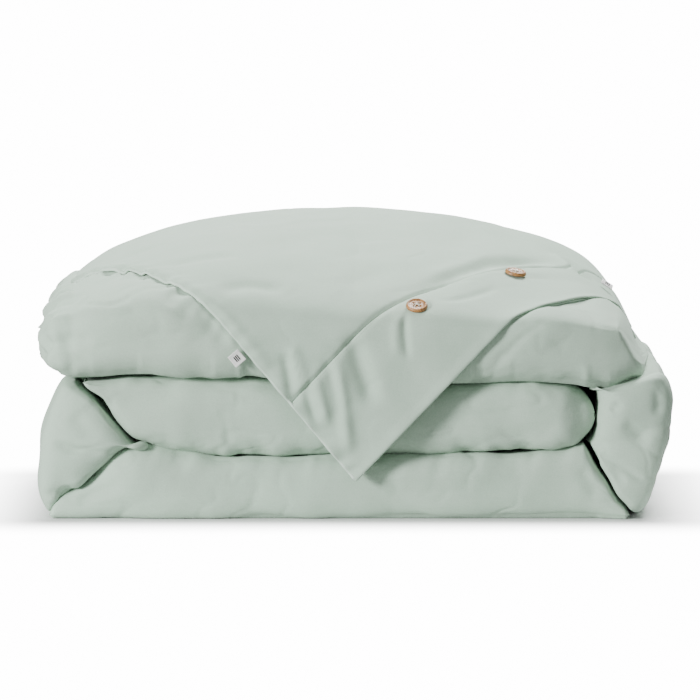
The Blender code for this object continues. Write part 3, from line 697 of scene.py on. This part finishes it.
def height_line(*lines):
    """Height at x of one or more joined lines of (x, z) points."""
    points = np.concatenate([smooth_line(np.array(line, float)) for line in lines])
    points = points[np.argsort(points[:, 0], kind="stable")]
    return lambda x: float(np.interp(x, points[:, 0], points[:, 1]))


def fan(start, end, pivot, outside):
    """A place function for a turn: from its start crease round to its end crease."""
    def place(u, v):
        v = PIVOT_SHARE + (1 - PIVOT_SHARE) * np.asarray(v)
        out = along(outside, u)
        ray = pivot + (out - pivot) * v[:, None]
        first = along(start, v) - (np.array(start[0]) + (along(start, [1.0])[0]
                                                         - np.array(start[0])) * v[:, None])
        last = along(end, v) - (np.array(end[0]) + (along(end, [1.0])[0]
                                                    - np.array(end[0])) * v[:, None])
        return ray + first * (1 - ease(u / 0.8)) + last * ease((u - 0.2) / 0.8)
    return place


def padded_layer(name, grid, relief, nodes):
    """A padded piece from its rings, with its relief, standing for the cover's CAD nodes."""
    normals = ring_normals(grid)
    shaped = grid + normals * relief[..., None]
    shaped[..., 2] = np.where(grid[..., 2] < FLOOR_Z + 0.0004, FLOOR_Z,
                              np.maximum(shaped[..., 2], FLOOR_Z))
    obj = closed_tube(name, shaped, COTTON)
    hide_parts(*nodes)
    return obj, shaped


def stuffed_layer(name, grid, strokes, seams, seed, nodes):
    """A padded piece with soft relief."""
    return padded_layer(name, grid, soften(grid, ring_normals(grid), strokes, seams, seed), nodes)


def lining(name, shells, share, mat, nodes):
    """The casing or the filling inside some layers: the same shapes, drawn in to a share."""
    points, faces, count = [], [], 0
    for grid in shells:
        inner = grid[LINING_SKIP_FIRST:-LINING_SKIP_LAST:LINING_STEP, ::LINING_STEP]
        centre = inner.mean(axis=1, keepdims=True)
        inner = centre + (inner - centre) * share
        rows, columns = inner.shape[:2]
        faces += tube_faces(rows, columns, count)
        points.append(inner.reshape(-1, 3))
        count += rows * columns
    obj = mesh_object(name, np.concatenate(points), faces, mat)
    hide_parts(*nodes)
    return obj


# Bottom layer
bottom_high = height_line(CREASE_LEFT_LOW, CREASE_MIDDLE, CREASE_RIGHT_LOW)
bottom_place = heights(lambda x: FLOOR_Z, lambda x: bottom_high(x) + 0.0005,
                       (BOTTOM_START_X, BOTTOM_START_X + BOTTOM_LENGTH))


def bottom_front(u):
    """The bottom layer's front edge draws back where it thins under the turns."""
    x = BOTTOM_START_X + BOTTOM_LENGTH * u
    return (FRONT_Y + 0.004 + 0.010 * (1 - ease((x - BOTTOM_START_X) / 0.09))
            + 0.003 * ease((x - 0.20) / 0.05))


bottom_grid = layer_grid(bottom_place, BOTTOM_LENGTH, bottom_front, lambda u: BACK_Y - 0.004,
                         soft_front=0.021, end=0.006)
BOTTOM_STROKES = (
    (((-0.262, 0.012), (-0.240, 0.024), (-0.212, 0.034)), 0.006, 0.0020),
    (((-0.180, 0.040), (-0.120, 0.030), (-0.060, 0.034)), 0.012, 0.0018),
    (((0.030, 0.030), (0.090, 0.024), (0.150, 0.030)), 0.012, 0.0016),
    (((0.205, 0.050), (0.214, 0.034), (0.226, 0.018)), 0.006, 0.0020),
)
BOTTOM_SEAMS = ((CREASE_MIDDLE, 0.015, 0.0028, 0.012), (CREASE_LEFT_LOW, 0.012, 0.0020, 0.010))
bottom_pad, bottom_shape = stuffed_layer(
    "cover_bottom_pad", bottom_grid, BOTTOM_STROKES, BOTTOM_SEAMS, 21,
    ["cover_bottom_layer"])

# Left turn
left_place = fan(CREASE_LEFT_TOP[::-1], CREASE_LEFT_LOW[::-1], np.array(LEFT_PIVOT),
                 LEFT_OUTSIDE)
left_grid = layer_grid(left_place, TURN_LENGTH,
                       lambda u: FRONT_Y - 0.002 + 0.010 * (2 * u - 1) ** 2,
                       lambda u: BACK_Y - 0.006, soft_front=0.024, end=0.012)
LEFT_STROKES = (
    (((-0.281, 0.072), (-0.261, 0.065), (-0.236, 0.060), (-0.226, 0.055)), 0.0050, 0.0042),
    (((-0.288, 0.023), (-0.270, 0.023), (-0.256, 0.028)), 0.0045, 0.0030),
    (((-0.262, 0.100), (-0.250, 0.086), (-0.240, 0.070)), 0.0090, 0.0022),
)
LEFT_SEAMS = ((CREASE_LEFT_TOP, 0.014, 0.0010, 0.013), (CREASE_LEFT_LOW, 0.012, 0.0022, 0.011))
left_pad, left_shape = stuffed_layer(
    "cover_left_turn_pad", left_grid, LEFT_STROKES, LEFT_SEAMS, 31,
    ["cover_left_turn"])

# Middle layer
middle_low = height_line(CREASE_LEFT_TOP, CREASE_MIDDLE)
middle_top = height_line(TOP_CREASE)
MIDDLE_START_X = -0.2520
MIDDLE_END_X = 0.2170
MIDDLE_END_ROUND = 0.026


def middle_place(u, v):
    """The middle layer: between its creases, with a rounded free end on the right."""
    x = MIDDLE_START_X + (MIDDLE_END_X - MIDDLE_START_X) * u
    low, high = middle_low(x) - 0.0005, middle_top(x) - 0.0004
    into_end = max(x - (MIDDLE_END_X - MIDDLE_END_ROUND), 0.0) / MIDDLE_END_ROUND
    squeeze = math.sqrt(max(1 - into_end**2.2, 0.0))
    centre = (low + high) / 2
    half = (high - low) / 2 * squeeze
    return np.stack((np.full(len(v), x), centre + half * (2 * np.asarray(v) - 1)), 1)


middle_grid = layer_grid(middle_place, MIDDLE_END_X - MIDDLE_START_X,
                         lambda u: FRONT_Y + 0.002 + 0.014 * ease((u - 0.93) / 0.07),
                         lambda u: BACK_Y - 0.004, soft_front=0.025, end=0.008)
far_end = ease((middle_grid[..., 1] + 0.08) / 0.10) * ease((middle_grid[..., 0] - 0.18) / 0.03)
middle_grid[..., 0] += 0.0115 * far_end
MIDDLE_STROKES = (
    (((-0.225, 0.118), (-0.190, 0.112), (-0.150, 0.116)), 0.0080, 0.0016),
    (((-0.160, 0.078), (-0.100, 0.084), (-0.050, 0.080)), 0.0120, 0.0020),
    (((0.050, 0.100), (0.110, 0.094), (0.170, 0.100)), 0.0140, 0.0020),
    (((0.120, 0.074), (0.165, 0.080), (0.200, 0.080)), 0.0080, 0.0016),
)
MIDDLE_SEAMS = ((CREASE_MIDDLE, 0.015, 0.0028, 0.013), (CREASE_LEFT_TOP, 0.014, 0.0010, 0.013),
                (TOP_CREASE, 0.014, 0.0024, 0.015))
middle_pad, middle_shape = stuffed_layer(
    "cover_middle_pad", middle_grid, MIDDLE_STROKES, MIDDLE_SEAMS, 41,
    ["cover_middle_layer"])

# Right turn
right_place = between(RIGHT_INSIDE, RIGHT_OUTSIDE)
right_first = np.array(CREASE_RIGHT_TOP)
right_last = np.array(CREASE_RIGHT_LOW)


def right_bowed(u, v):
    """The right turn, with its first and last sections bowed to the creases beside it."""
    base = right_place(u, v)
    v = np.asarray(v)
    straight = right_first[0] + (right_first[-1] - right_first[0]) * v[:, None]
    ending = along(RIGHT_INSIDE, [1.0])[0]
    outer_end = along(RIGHT_OUTSIDE, [1.0])[0]
    last_straight = ending + (outer_end - ending) * v[:, None]
    last = along(np.vstack((right_last, [outer_end])), v)
    return (base + (along(right_first, v) - straight) * (1 - ease(u / 0.35))
            + (last - last_straight) * ease((u - 0.6) / 0.4))


right_grid = layer_grid(right_bowed, TURN_LENGTH,
                        lambda u: FRONT_Y - 0.002 + 0.006 * (2 * u - 1) ** 2,
                        lambda u: BACK_Y - 0.006, soft_front=0.024, end=0.010)
RIGHT_STROKES = (
    (((0.214, 0.064), (0.240, 0.050), (0.258, 0.039), (0.272, 0.033)), 0.0030, 0.0030),
    (((0.233, 0.099), (0.238, 0.104), (0.243, 0.109)), 0.0040, 0.0022),
    (((0.244, 0.092), (0.258, 0.080), (0.272, 0.072)), 0.0070, 0.0030),
    (((0.2755, 0.122), (0.2775, 0.108), (0.2765, 0.092)), 0.0055, 0.0024),
    (((0.235, 0.046), (0.240, 0.040), (0.247, 0.033)), 0.0040, 0.0018),
)
RIGHT_SEAMS = ((CREASE_RIGHT_LOW, 0.014, 0.0014, 0.011), (CREASE_RIGHT_TOP, 0.012, 0.0016, 0.012))
right_pad, right_shape = stuffed_layer(
    "cover_right_turn_pad", right_grid, RIGHT_STROKES, RIGHT_SEAMS, 51,
    ["cover_right_turn_lower", "cover_right_turn_upper"])


# Top layer
def outside_mouth(x, s):
    """How far a place is outside the mouth's cloth, from 0 under it to 1 well beside it."""
    left = (side_seam_s(x) - s) * math.cos(SEAM_SLOPE)
    right = (x * math.tan(HEM_SLOPE) - s) * math.cos(HEM_SLOPE)
    far = np.maximum(np.maximum(left, right), np.maximum(MOUTH_LEFT_X - x, x - MOUTH_RIGHT_X))
    return ease((far + 0.002) / 0.007)


top_low = height_line(TOP_CREASE)


def top_ring(x, count=190):
    """Section of the top layer at x, drawn in from the mouth's cloth that lies on it."""
    outline = dome_outline(x, crown=PAD_CROWN)
    lengths = outline_lengths(outline)
    top = outline[:, 1].max()
    under_z = top_low(x) + 0.0004
    r = max(min(0.022, 0.45 * (top - under_z)), 0.0006)
    above = np.flatnonzero(outline[:, 1] > under_z + r)
    s = np.linspace(lengths[above[0]], lengths[above[-1]], count)
    y, z = np.interp(s, lengths, outline[:, 0]), np.interp(s, lengths, outline[:, 1])
    normal = np.stack((-np.gradient(z), np.gradient(y)), 1)
    normal /= np.maximum(np.linalg.norm(normal, axis=1, keepdims=True), 1e-12)
    column = np.full(count, x)
    beside = outside_mouth(column, s)
    inset = UNDER_MOUTH + (BESIDE_MOUTH - UNDER_MOUTH) * beside
    inset = inset * min(1.0, (top - under_z) / 0.02)
    relief = mouth_relief(column, s) * (1 - beside) * min(1.0, (top - under_z) / 0.04)
    y, z = y + normal[:, 0] * (relief - inset), z + normal[:, 1] * (relief - inset)
    z = np.maximum(z, under_z + 0.5 * r)
    turn = np.linspace(0, math.pi / 2, 10)[1:]
    front = np.stack((y[0] + r * (1 - np.cos(turn)), z[0] - (z[0] - under_z) * np.sin(turn)), 1)
    back = np.stack((y[-1] - r * (1 - np.cos(turn)), z[-1] - (z[-1] - under_z) * np.sin(turn)), 1)
    under = np.linspace(back[-1], front[-1], 40)[1:-1]
    yz = np.concatenate((np.stack((y, z), 1), back, under, front[::-1]))
    rest = len(yz) - count
    heights_s = np.concatenate((s, np.full(rest - len(front), s[-1]), np.full(len(front), s[0])))
    return np.stack((np.full(len(yz), x), yz[:, 0], yz[:, 1], heights_s), 1)


def top_grid_rings():
    """Rings of the top layer, from its rounded left end to where it thins into the right turn."""
    rings = []
    first = top_ring(LEFT_END_X)
    centre = np.array((LEFT_END_X, 0.5 * (first[:, 1].min() + first[:, 1].max()), LEFT_END_Z))
    for angle in np.radians(np.linspace(86, 6, 16)):
        ring = first.copy()
        ring[:, 2] = centre[2] + (first[:, 2] - centre[2]) * math.cos(angle) ** 0.75
        narrow = 1 - 0.16 * (1 - math.cos(angle)) ** 1.5
        ring[:, 1] = centre[1] + (first[:, 1] - centre[1]) * narrow
        ring[:, 0] = LEFT_END_X - LEFT_END_REACH * math.sin(angle)
        rings.append(ring)
    for x in np.arange(LEFT_END_X, TOP_RIGHT_X, 0.0024):
        rings.append(top_ring(x))
    return np.array(rings)


top_rings = top_grid_rings()
top_grid, top_s = top_rings[..., :3], top_rings[..., 3]
top_normals = ring_normals(top_grid)
TOP_STROKES = (
    (((-0.280, 0.176), (-0.262, 0.168), (-0.236, 0.166)), 0.0060, 0.0020),
    (((-0.150, 0.196), (-0.128, 0.176), (-0.112, 0.158)), 0.0080, 0.0022),
    (((-0.190, 0.212), (-0.160, 0.196), (-0.146, 0.180)), 0.0060, 0.0018),
    (((-0.286, 0.150), (-0.262, 0.146), (-0.242, 0.150)), 0.0050, 0.0016),
    (((0.170, 0.166), (0.205, 0.152), (0.238, 0.146)), 0.0110, 0.0016),
)
TOP_SEAMS = ((((-0.262, 0.131), (-0.150, 0.131), (-0.060, 0.131)), 0.010, 0.0016, 0.013),
             (((0.080, 0.131), (0.150, 0.130), (0.230, 0.128)), 0.010, 0.0014, 0.013))


def top_relief():
    """Relief of the top layer where the mouth's cloth doesn't cover it."""
    columns = top_grid[:, 0, 0]
    x = top_grid[..., 0]
    beside = outside_mouth(x, top_s)
    out = soften(top_grid, top_normals, TOP_STROKES, TOP_SEAMS, 61)
    places = np.stack((x, top_s), axis=-1)
    front_half = top_grid[..., 1] < 0.06
    out += gathers(places, SEAM_LINE, 0.018, 0.0050, 0.0110, 66) * front_half
    out += gathers(places, HEM_LINE, 0.010, 0.0012, 0.0120, 67) * front_half
    left_end = ease((LEFT_END_X + 0.006 - x) / 0.012)
    out += left_end * 0.0030 * noise(top_grid * (0.2, 1.0, 1.0), 0.011, 68)
    thin = ease((0.2820 - x) / 0.03)
    under = np.array([top_low(c) for c in columns])[:, None] + 0.0006
    return out * beside * thin * (top_grid[..., 2] > under)


top_pad, top_shape = padded_layer(
    "cover_top_pad", top_grid, top_relief(), ["cover_top_layer"])


# Casing and filling inside the layers
STACK_SHELLS = (bottom_shape, left_shape, middle_shape)
LOWER = ("bottom_layer", "left_turn", "middle_layer")
UPPER = ("right_turn_lower", "right_turn_upper")
LININGS = {}
for place, shells, layers, shares in (("stack", STACK_SHELLS, LOWER, (0.84, 0.78)),
                                      ("right_turn", (right_shape,), UPPER, (0.80, 0.74)),
                                      ("top", (top_shape,), ("top_layer",), (0.83, 0.77))):
    for kind, share, mat in (("casing", shares[0], CASING), ("filling", shares[1], FILLING)):
        LININGS[kind, place] = lining(f"{kind}_{place}", shells, share, mat,
                                      [f"{kind}_{layer}" for layer in layers])


# ---------- the cover's mouth

def panel_grid(gap):
    """Unrolled places of a mouth panel: behind the side seam and the band, to the back edge."""
    x = np.linspace(MOUTH_LEFT_X, MOUTH_RIGHT_X, 224)
    band_top = x * math.tan(HEM_SLOPE) + (BAND_WIDTH + gap) / math.cos(HEM_SLOPE)
    low = np.maximum(side_seam_s(x), band_top)
    high = np.array([outline_lengths(dome_outline(c))[-1] for c in x])
    t = np.linspace(0, 1, 190) ** 1.25
    s = low[:, None] + (high - low)[:, None] * t[None]
    return np.broadcast_to(x[:, None], s.shape).copy(), s


def band_grid(gap, rows=44, columns=190):
    """Unrolled places of a band: along the hem, from the hem to the band's seam."""
    w = np.linspace(0, BAND_WIDTH - gap, rows)
    c, n = math.cos(HEM_SLOPE), math.sin(HEM_SLOPE)
    slope = math.tan(SEAM_SLOPE)
    start = w * (slope * n - c) / (n + slope * c)
    end = (MOUTH_RIGHT_X + w * n) / c
    t = start[None] + (end - start)[None] * np.linspace(0, 1, columns)[:, None]
    return band_point(t, np.broadcast_to(w, t.shape))


def cloth_faces(places, outer, inner, roll):
    """The two faces of a piece of the mouth's cloth at depths below its outer surface."""
    x, s = places
    base, normal = cloth_places(x, s), outward(x, s)
    relief = mouth_relief(x, s) + roll
    return [base + normal * (relief - depth)[..., None] for depth in (outer, inner)]


def on_cloth(x, s, lift):
    """Points on the mouth's cloth with its relief, lifted off it, and the smooth normals there."""
    normal = outward(x, s)
    return cloth_places(x, s) + normal * (mouth_relief(x, s) + lift)[:, None], normal


def seam_dip(far, width=0.0026, depth=0.0019):
    """How much cloth dips where it is sewn, by the distance from the sewing line."""
    return -depth * np.exp(-(far / width) ** 2)


def lay_cloth(name, places, outer, inner, roll, nodes):
    """One piece of the mouth's cloth, from its outer to its inner depth."""
    obj = closed_sheet(name, *cloth_faces(places, outer, inner, roll), COTTON, "cotton")
    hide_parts(*nodes)
    return obj


def from_band_seam(places):
    """Distance in from the band's sewing line."""
    x, s = places
    return np.abs((s - x * math.tan(HEM_SLOPE)) * math.cos(HEM_SLOPE) - BAND_WIDTH)


def from_side_seam(places):
    """Distance in from the side seam."""
    x, s = places
    return (s - side_seam_s(x)) * math.cos(SEAM_SLOPE)


panel = panel_grid(0.0004)
band = band_grid(0.0004)
panel_roll = seam_dip(from_band_seam(panel)) + 0.0018 * np.exp(
    -((from_side_seam(panel) - 0.006) / 0.006) ** 2) * ease((-panel[0] - 0.05) / 0.05)
band_roll = seam_dip(from_band_seam(band))
outer_panel = lay_cloth("mouth_outer_cloth", panel, 0.0, CLOTH, panel_roll,
                        ["mouth_outer_panel", "flap_outer_panel"])
outer_band = lay_cloth("buttonhole_band_cloth", band, 0.0, BAND_CLOTH, band_roll,
                       ["buttonhole_band_upper", "buttonhole_band_flap"])
inner_panel = lay_cloth("mouth_inner_cloth", panel, INNER_CLOTH_FROM, INNER_CLOTH_FROM + CLOTH,
                        panel_roll, ["mouth_inner_panel", "flap_inner_panel"])
inner_band = lay_cloth("button_band_cloth", band, INNER_CLOTH_FROM + 0.0004,
                       INNER_CLOTH_FROM + BAND_CLOTH, band_roll,
                       ["button_band_upper", "button_band_flap"])


def seam_path(offset):
    """Points along the side seam, from the corner's tip to the left end."""
    x = np.linspace(-0.001, MOUTH_LEFT_X + 0.002, 190)
    return on_cloth(x, side_seam_s(x), -offset)[0]


seam_points = seam_path(0.0017)
seam_radius = 0.0017 + 0.0003 * noise(seam_points, 0.009, 71)
# The rolled seam uses a lighter copy of the cover's cotton, a painted highlight along its edge
side_seam = tube_along("side_seam_roll", seam_points, seam_radius, COTTON_SEAM_PAINTED_HIGHLIGHT)
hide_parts("side_seam_upper", "side_seam_flap")


STITCH_STEPS, STITCH_SIDES = 5, 6


def stitches(name, line, lift, mat, pitch=0.0034, length=0.0022, radius=0.00022):
    """A row of small stitches along unrolled places (x, s)."""
    points, faces, count = [], [], 0
    total = np.linalg.norm(np.diff(line, axis=0), axis=1).sum()
    shares = np.arange(0.004, total - 0.004, pitch) / total
    at = np.linspace(0, 1, STITCH_STEPS)
    angle = np.linspace(0, 2 * math.pi, STITCH_SIDES, endpoint=False)
    size = radius * np.sqrt(np.clip(1 - (2 * at - 1) ** 4, 0.02, 1))
    steps = np.concatenate([share + at * length / total for share in shares])
    centre, normal = on_cloth(*along(line, steps).T, lift)
    for k in range(len(shares)):
        here = slice(STITCH_STEPS * k, STITCH_STEPS * (k + 1))
        c, n = centre[here], normal[here]
        run = c[-1] - c[0]
        run /= np.linalg.norm(run)
        side = np.cross(run, n)
        ring = (np.cos(angle)[None, :, None] * side[:, None]
                + np.sin(angle)[None, :, None] * n[:, None])
        points.append((c[:, None] + ring * size[:, None, None]).reshape(-1, 3))
        faces += tube_faces(STITCH_STEPS, STITCH_SIDES, count)
        count += STITCH_STEPS * STITCH_SIDES
    return mesh_object(name, np.concatenate(points), faces, mat)


band_stitch_line = np.array([band_point(t, BAND_WIDTH - 0.0022)
                             for t in (0.004, 0.130, 0.260, 0.385)])
band_stitches = stitches("band_stitching", band_stitch_line, -0.0009, SAGE_YARN)

# The mouth's pieces, whose corner hangs down the front, have their placement baked into their
# meshes
for cloth in (outer_panel, outer_band, inner_panel, inner_band, side_seam, band_stitches):
    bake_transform(cloth)


# ---------- buttons and labels

def axes_at(place, normal):
    """Matrix at a place with Z along the normal and X level."""
    z = normal.normalized()
    x = Vector((0.0, 0.0, 1.0)).cross(z)
    x = x.normalized() if x.length > 1e-6 else Vector((1.0, 0.0, 0.0))
    y = z.cross(x)
    return Matrix.Translation(place) @ Matrix((x, y, z)).transposed().to_4x4()


BUTTON_RADIUS = 0.0100
BUTTON_THICK = 0.0034
HOLE_RADIUS = 0.00125
HOLE_OFFSET = 0.0024
LABEL_HALF = 0.00575


def button_height(x, y):
    """Height of a button's face: rounded rim, shallow dish and four holes."""
    r = np.hypot(x, y) / BUTTON_RADIUS
    rim = BUTTON_THICK * (0.74 + 0.26 * np.exp(-((r - 0.84) / 0.13) ** 2))
    drop = BUTTON_THICK * 0.55 * (1 - np.sqrt(np.clip(1 - np.clip((r - 0.86) / 0.14, 0, 1) ** 2,
                                                      0, 1)))
    height = rim - drop
    for sx in (-1, 1):
        for sy in (-1, 1):
            far = np.hypot(x - sx * HOLE_OFFSET, y - sy * HOLE_OFFSET) / HOLE_RADIUS
            height = np.where(far < 1, 0.00045, height - 0.00025 * np.exp(-((far - 1) / 0.35) ** 2))
    return height


def button(name, matrix):
    """A four-hole button whose underside is at the matrix's origin."""
    rings, sides = 64, 96
    radius = BUTTON_RADIUS * np.linspace(0.0, 1, rings) ** 0.9
    radius[0] = 0.0002
    angle = np.linspace(0, 2 * math.pi, sides, endpoint=False)
    x, y = radius[:, None] * np.cos(angle), radius[:, None] * np.sin(angle)
    top = np.stack((x, y, button_height(x, y)), -1)
    edge = top[-1:] * (1.0, 1.0, 0.55)
    low_edge = top[-1:] * (0.97, 0.97, 0.0) + (0, 0, 0.0003)
    under = top[-1:] * (0.90, 0.90, 0.0)
    centre = top[-1:] * (0.02, 0.02, 0.0)
    grid = np.concatenate((top, edge, low_edge, under, centre))
    obj = closed_tube(name, grid, COCONUT)
    obj.data.transform(matrix)
    return obj


def thread_cross(name, matrix):
    """Thread over a button through its holes."""
    strands = []
    for sx in (-1, 1):
        for shift in (-0.00032, 0.0, 0.00032):
            t = np.linspace(0, math.pi, 17)
            run = np.stack((-np.cos(t) * HOLE_OFFSET * sx, -np.cos(t) * HOLE_OFFSET,
                            0.0014 + 0.0016 * np.sin(t) ** 0.6), 1)
            run[:, 0] += shift * (1 if sx < 0 else -1)
            run[:, 1] += shift
            if sx < 0:
                run[:, 2] += 0.00025 * np.sin(t)
            strands.append(run)
    points, faces, count = [], [], 0
    for run in strands:
        piece = tube_along("strand", run, 0.00024, YARN, sides=7)
        mesh = piece.data
        points.append(np.array([v.co for v in mesh.vertices]))
        faces += [[count + i for i in p.vertices] for p in mesh.polygons]
        count += len(mesh.vertices)
        bpy.data.objects.remove(piece)
    obj = mesh_object(name, np.concatenate(points), faces, YARN)
    obj.data.transform(matrix)
    return obj


def button_place(number):
    """Where a button lies: centre from its CAD node, facing along its joint's axis."""
    name = ("first", "second")[number - 1]
    axis = JOINTS[f"{name}_button_turns"][1]
    low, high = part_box(f"button_{number}")
    return (low + high) / 2 - axis * (BUTTON_THICK / 2), axis


for number, body in ((1, "first_button"), (2, "second_button")):
    place, axis = button_place(number)
    matrix = axes_at(place, axis)
    disc = button(f"coconut_button_{number}", matrix)
    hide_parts(f"button_{number}")
    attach(disc, body)
    thread = thread_cross(f"button_yarn_{number}", matrix)
    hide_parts(f"button_thread_{number}")
    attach(thread, body)


def label(name, node, body, joint, lift, tilt):
    """A small square label of woven tape with a woven border and three plain bars.

    It stands for its CAD node, moved by lift clear of the bulging cloth and turned by tilt.
    """
    co = np.array([v.co for v in frame["nodes"][node].data.vertices])
    centre = co.mean(axis=0)
    across = JOINTS[joint][1]
    thin = Vector(np.linalg.svd(co - centre)[2][2])
    out = thin.cross(across).normalized()
    turn = Matrix.Rotation(tilt, 3, out)
    axes = np.array((turn @ across, out, turn @ thin))
    half = LABEL_HALF
    a = np.linspace(-1, 1, 33)
    gx, gy = np.meshgrid(a, a, indexing="ij")
    rim = 0.00012 * np.exp(-((np.maximum(np.abs(gx), np.abs(gy)) - 0.84) / 0.05) ** 2)
    curl = 0.0005 * (gx**2 - 0.4) + 0.0003 * gy
    faces = [np.stack((gx * half, gy * half, side * (0.00035 + rim) + curl), -1) @ axes
             + centre + np.array(lift) for side in (1, -1)]
    obj = closed_sheet(name, *faces, TAPE, "tape")
    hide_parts(node)
    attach(obj, body)
    for side in (1, -1):
        for k in (-1, 0, 1):
            t = np.linspace(-0.48, 0.48, 9)
            bar = np.stack((t * half, 0 * t + 0.30 * k * half,
                            side * 0.00036 + 0.0005 * (t**2 - 0.4) + 0.00009 * k), -1)
            thread = tube_along(f"{name}_bar_{k + 2}{'f' if side > 0 else 'b'}",
                                bar @ axes + centre + np.array(lift), 0.00055, DARK_YARN)
            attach(thread, body)


label("woven_label_tape", "woven_label", "side_label", "side_label_folds",
      (0.0, -0.0052, 0.0), 0.0)
label("care_label_tape", "care_label", "band_label", "band_label_folds",
      (0.0030, -0.0010, 0.0030), math.radians(-14))


TIE_INWARD = 0.036
TIE_ACROSS = 0.016
TIE_RADIUS = 0.0006


def corner_tie(node, body):
    """A tie of narrow tape tied round a corner of the duvet, inside the cover."""
    low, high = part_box(node)
    centre, half = np.array((low + high) / 2), np.array((high - low) / 2)
    inward = TIE_INWARD if centre[1] < 0 else -TIE_INWARD
    across = -TIE_ACROSS if centre[0] > 0 else TIE_ACROSS
    t = np.linspace(0, 2 * math.pi, 60, endpoint=False)
    loop = np.stack((half[0] * 0.8 * np.sin(2 * t) * 0.9, 0.0030 * np.cos(3 * t),
                     half[2] * 0.8 * np.sin(t)), 1) + centre + (across, inward, 0.0)
    obj = tube_along(f"{node}_tape", loop, TIE_RADIUS, TAPE, sides=8)
    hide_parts(node)
    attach(obj, body)


for tie in [n for n in frame["nodes"] if n.startswith("corner_tie")]:
    corner_tie(tie, frame["nodes"][tie]["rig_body"])

def both(place):
    """The casing and the filling of one place."""
    return LININGS["casing", place], LININGS["filling", place]


for piece in (bottom_pad, left_pad, middle_pad, *both("stack")):
    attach(piece, "stack")
for piece in (top_pad, *both("top")):
    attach(piece, "top_fold")
for piece in (right_pad, *both("right_turn")):
    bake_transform(piece)


# ---------- floor, light and camera

def floor_material():
    """A matte white floor."""
    mat, shader = new_material("floor_white")
    feed(mat, shader, {"Base Color": (0.92, 0.92, 0.92, 1.0), "Roughness": 0.7})
    return mat


def glow_material():
    """Clear close to the object, and as bright as a lit studio floor further away."""
    mat, shader = new_material("floor_glow")
    mat.node_tree.nodes.remove(shader)
    place = add_node(mat, "NewGeometry", {}, "Position")
    sides = add_node(mat, "VectorMath", {0: place}, operation="ABSOLUTE")
    beyond = add_node(mat, "VectorMath", {0: sides, 1: GLOW_CLEAR}, operation="SUBTRACT")
    outside = add_node(mat, "VectorMath", {0: beyond}, operation="MAXIMUM")
    far = add_node(mat, "VectorMath", {0: outside}, "Value", operation="LENGTH")
    share = add_node(mat, "MapRange", {"From Max": GLOW_REACH, "Value": far},
                     interpolation_type="SMOOTHSTEP")
    feed(mat, mat.node_tree.nodes["Material Output"], {"Surface": add_node(mat, "MixShader", {
        0: share, 1: add_node(mat, "BsdfTransparent", {}),
        2: add_node(mat, "Emission", {"Strength": GLOW_STRENGTH})})})
    return mat


def flat_plane(name, z, mat):
    """A large flat square of the stage."""
    corners = [(-60.0, -60.0, z), (60.0, -60.0, z), (60.0, 60.0, z), (-60.0, 60.0, z)]
    mesh = bpy.data.meshes.new(name)
    mesh.from_pydata(corners, [], [(0, 1, 2, 3)])
    mesh.materials.append(mat)
    obj = bpy.data.objects.new(name, mesh)
    bpy.context.scene.collection.objects.link(obj)
    return obj


def area_light(name, place, target, size, power, colour=(1.0, 1.0, 1.0)):
    """A soft rectangular light aimed at a target."""
    data = bpy.data.lights.new(name, "AREA")
    data.shape = "RECTANGLE"
    data.size, data.size_y = size
    data.energy = power
    data.color = colour
    obj = bpy.data.objects.new(name, data)
    obj.location = place
    obj.rotation_euler = (Vector(target) - Vector(place)).to_track_quat("-Z", "Y").to_euler()
    bpy.context.scene.collection.objects.link(obj)


def set_camera():
    """The camera, far back and a little above the stack."""
    data = bpy.data.cameras.new("camera")
    far = (Vector(CAMERA_TARGET) - Vector(CAMERA_PLACE)).length
    data.sensor_width = SENSOR * 1000
    data.lens = SENSOR * 1000 * far / CAMERA_WIDTH
    data.clip_end = 100.0
    obj = bpy.data.objects.new("camera", data)
    obj.location = CAMERA_PLACE
    obj.rotation_euler = (Vector(CAMERA_TARGET) - Vector(CAMERA_PLACE)).to_track_quat(
        "-Z", "Y").to_euler()
    bpy.context.scene.collection.objects.link(obj)
    bpy.context.scene.camera = obj


flat_plane("floor", -0.0006, floor_material())
floor_glow = flat_plane("floor_glow", -0.0004, glow_material())
floor_glow.visible_diffuse = False
floor_glow.visible_glossy = False
set_camera()
area_light("key", (-2.7, -2.3, 0.9), (0.0, 0.0, 0.1), (0.8, 0.8), 205.0)
area_light("back", (0.7, 1.6, 2.6), (0.0, 0.1, 0.15), (1.3, 1.0), 205.0)
world = bpy.data.worlds.new("studio")
world.use_nodes = True
world.node_tree.nodes["Background"].inputs["Color"].default_value = (0.97, 1.0, 0.98, 1.0)
world.node_tree.nodes["Background"].inputs["Strength"].default_value = 0.50
bpy.context.scene.world = world
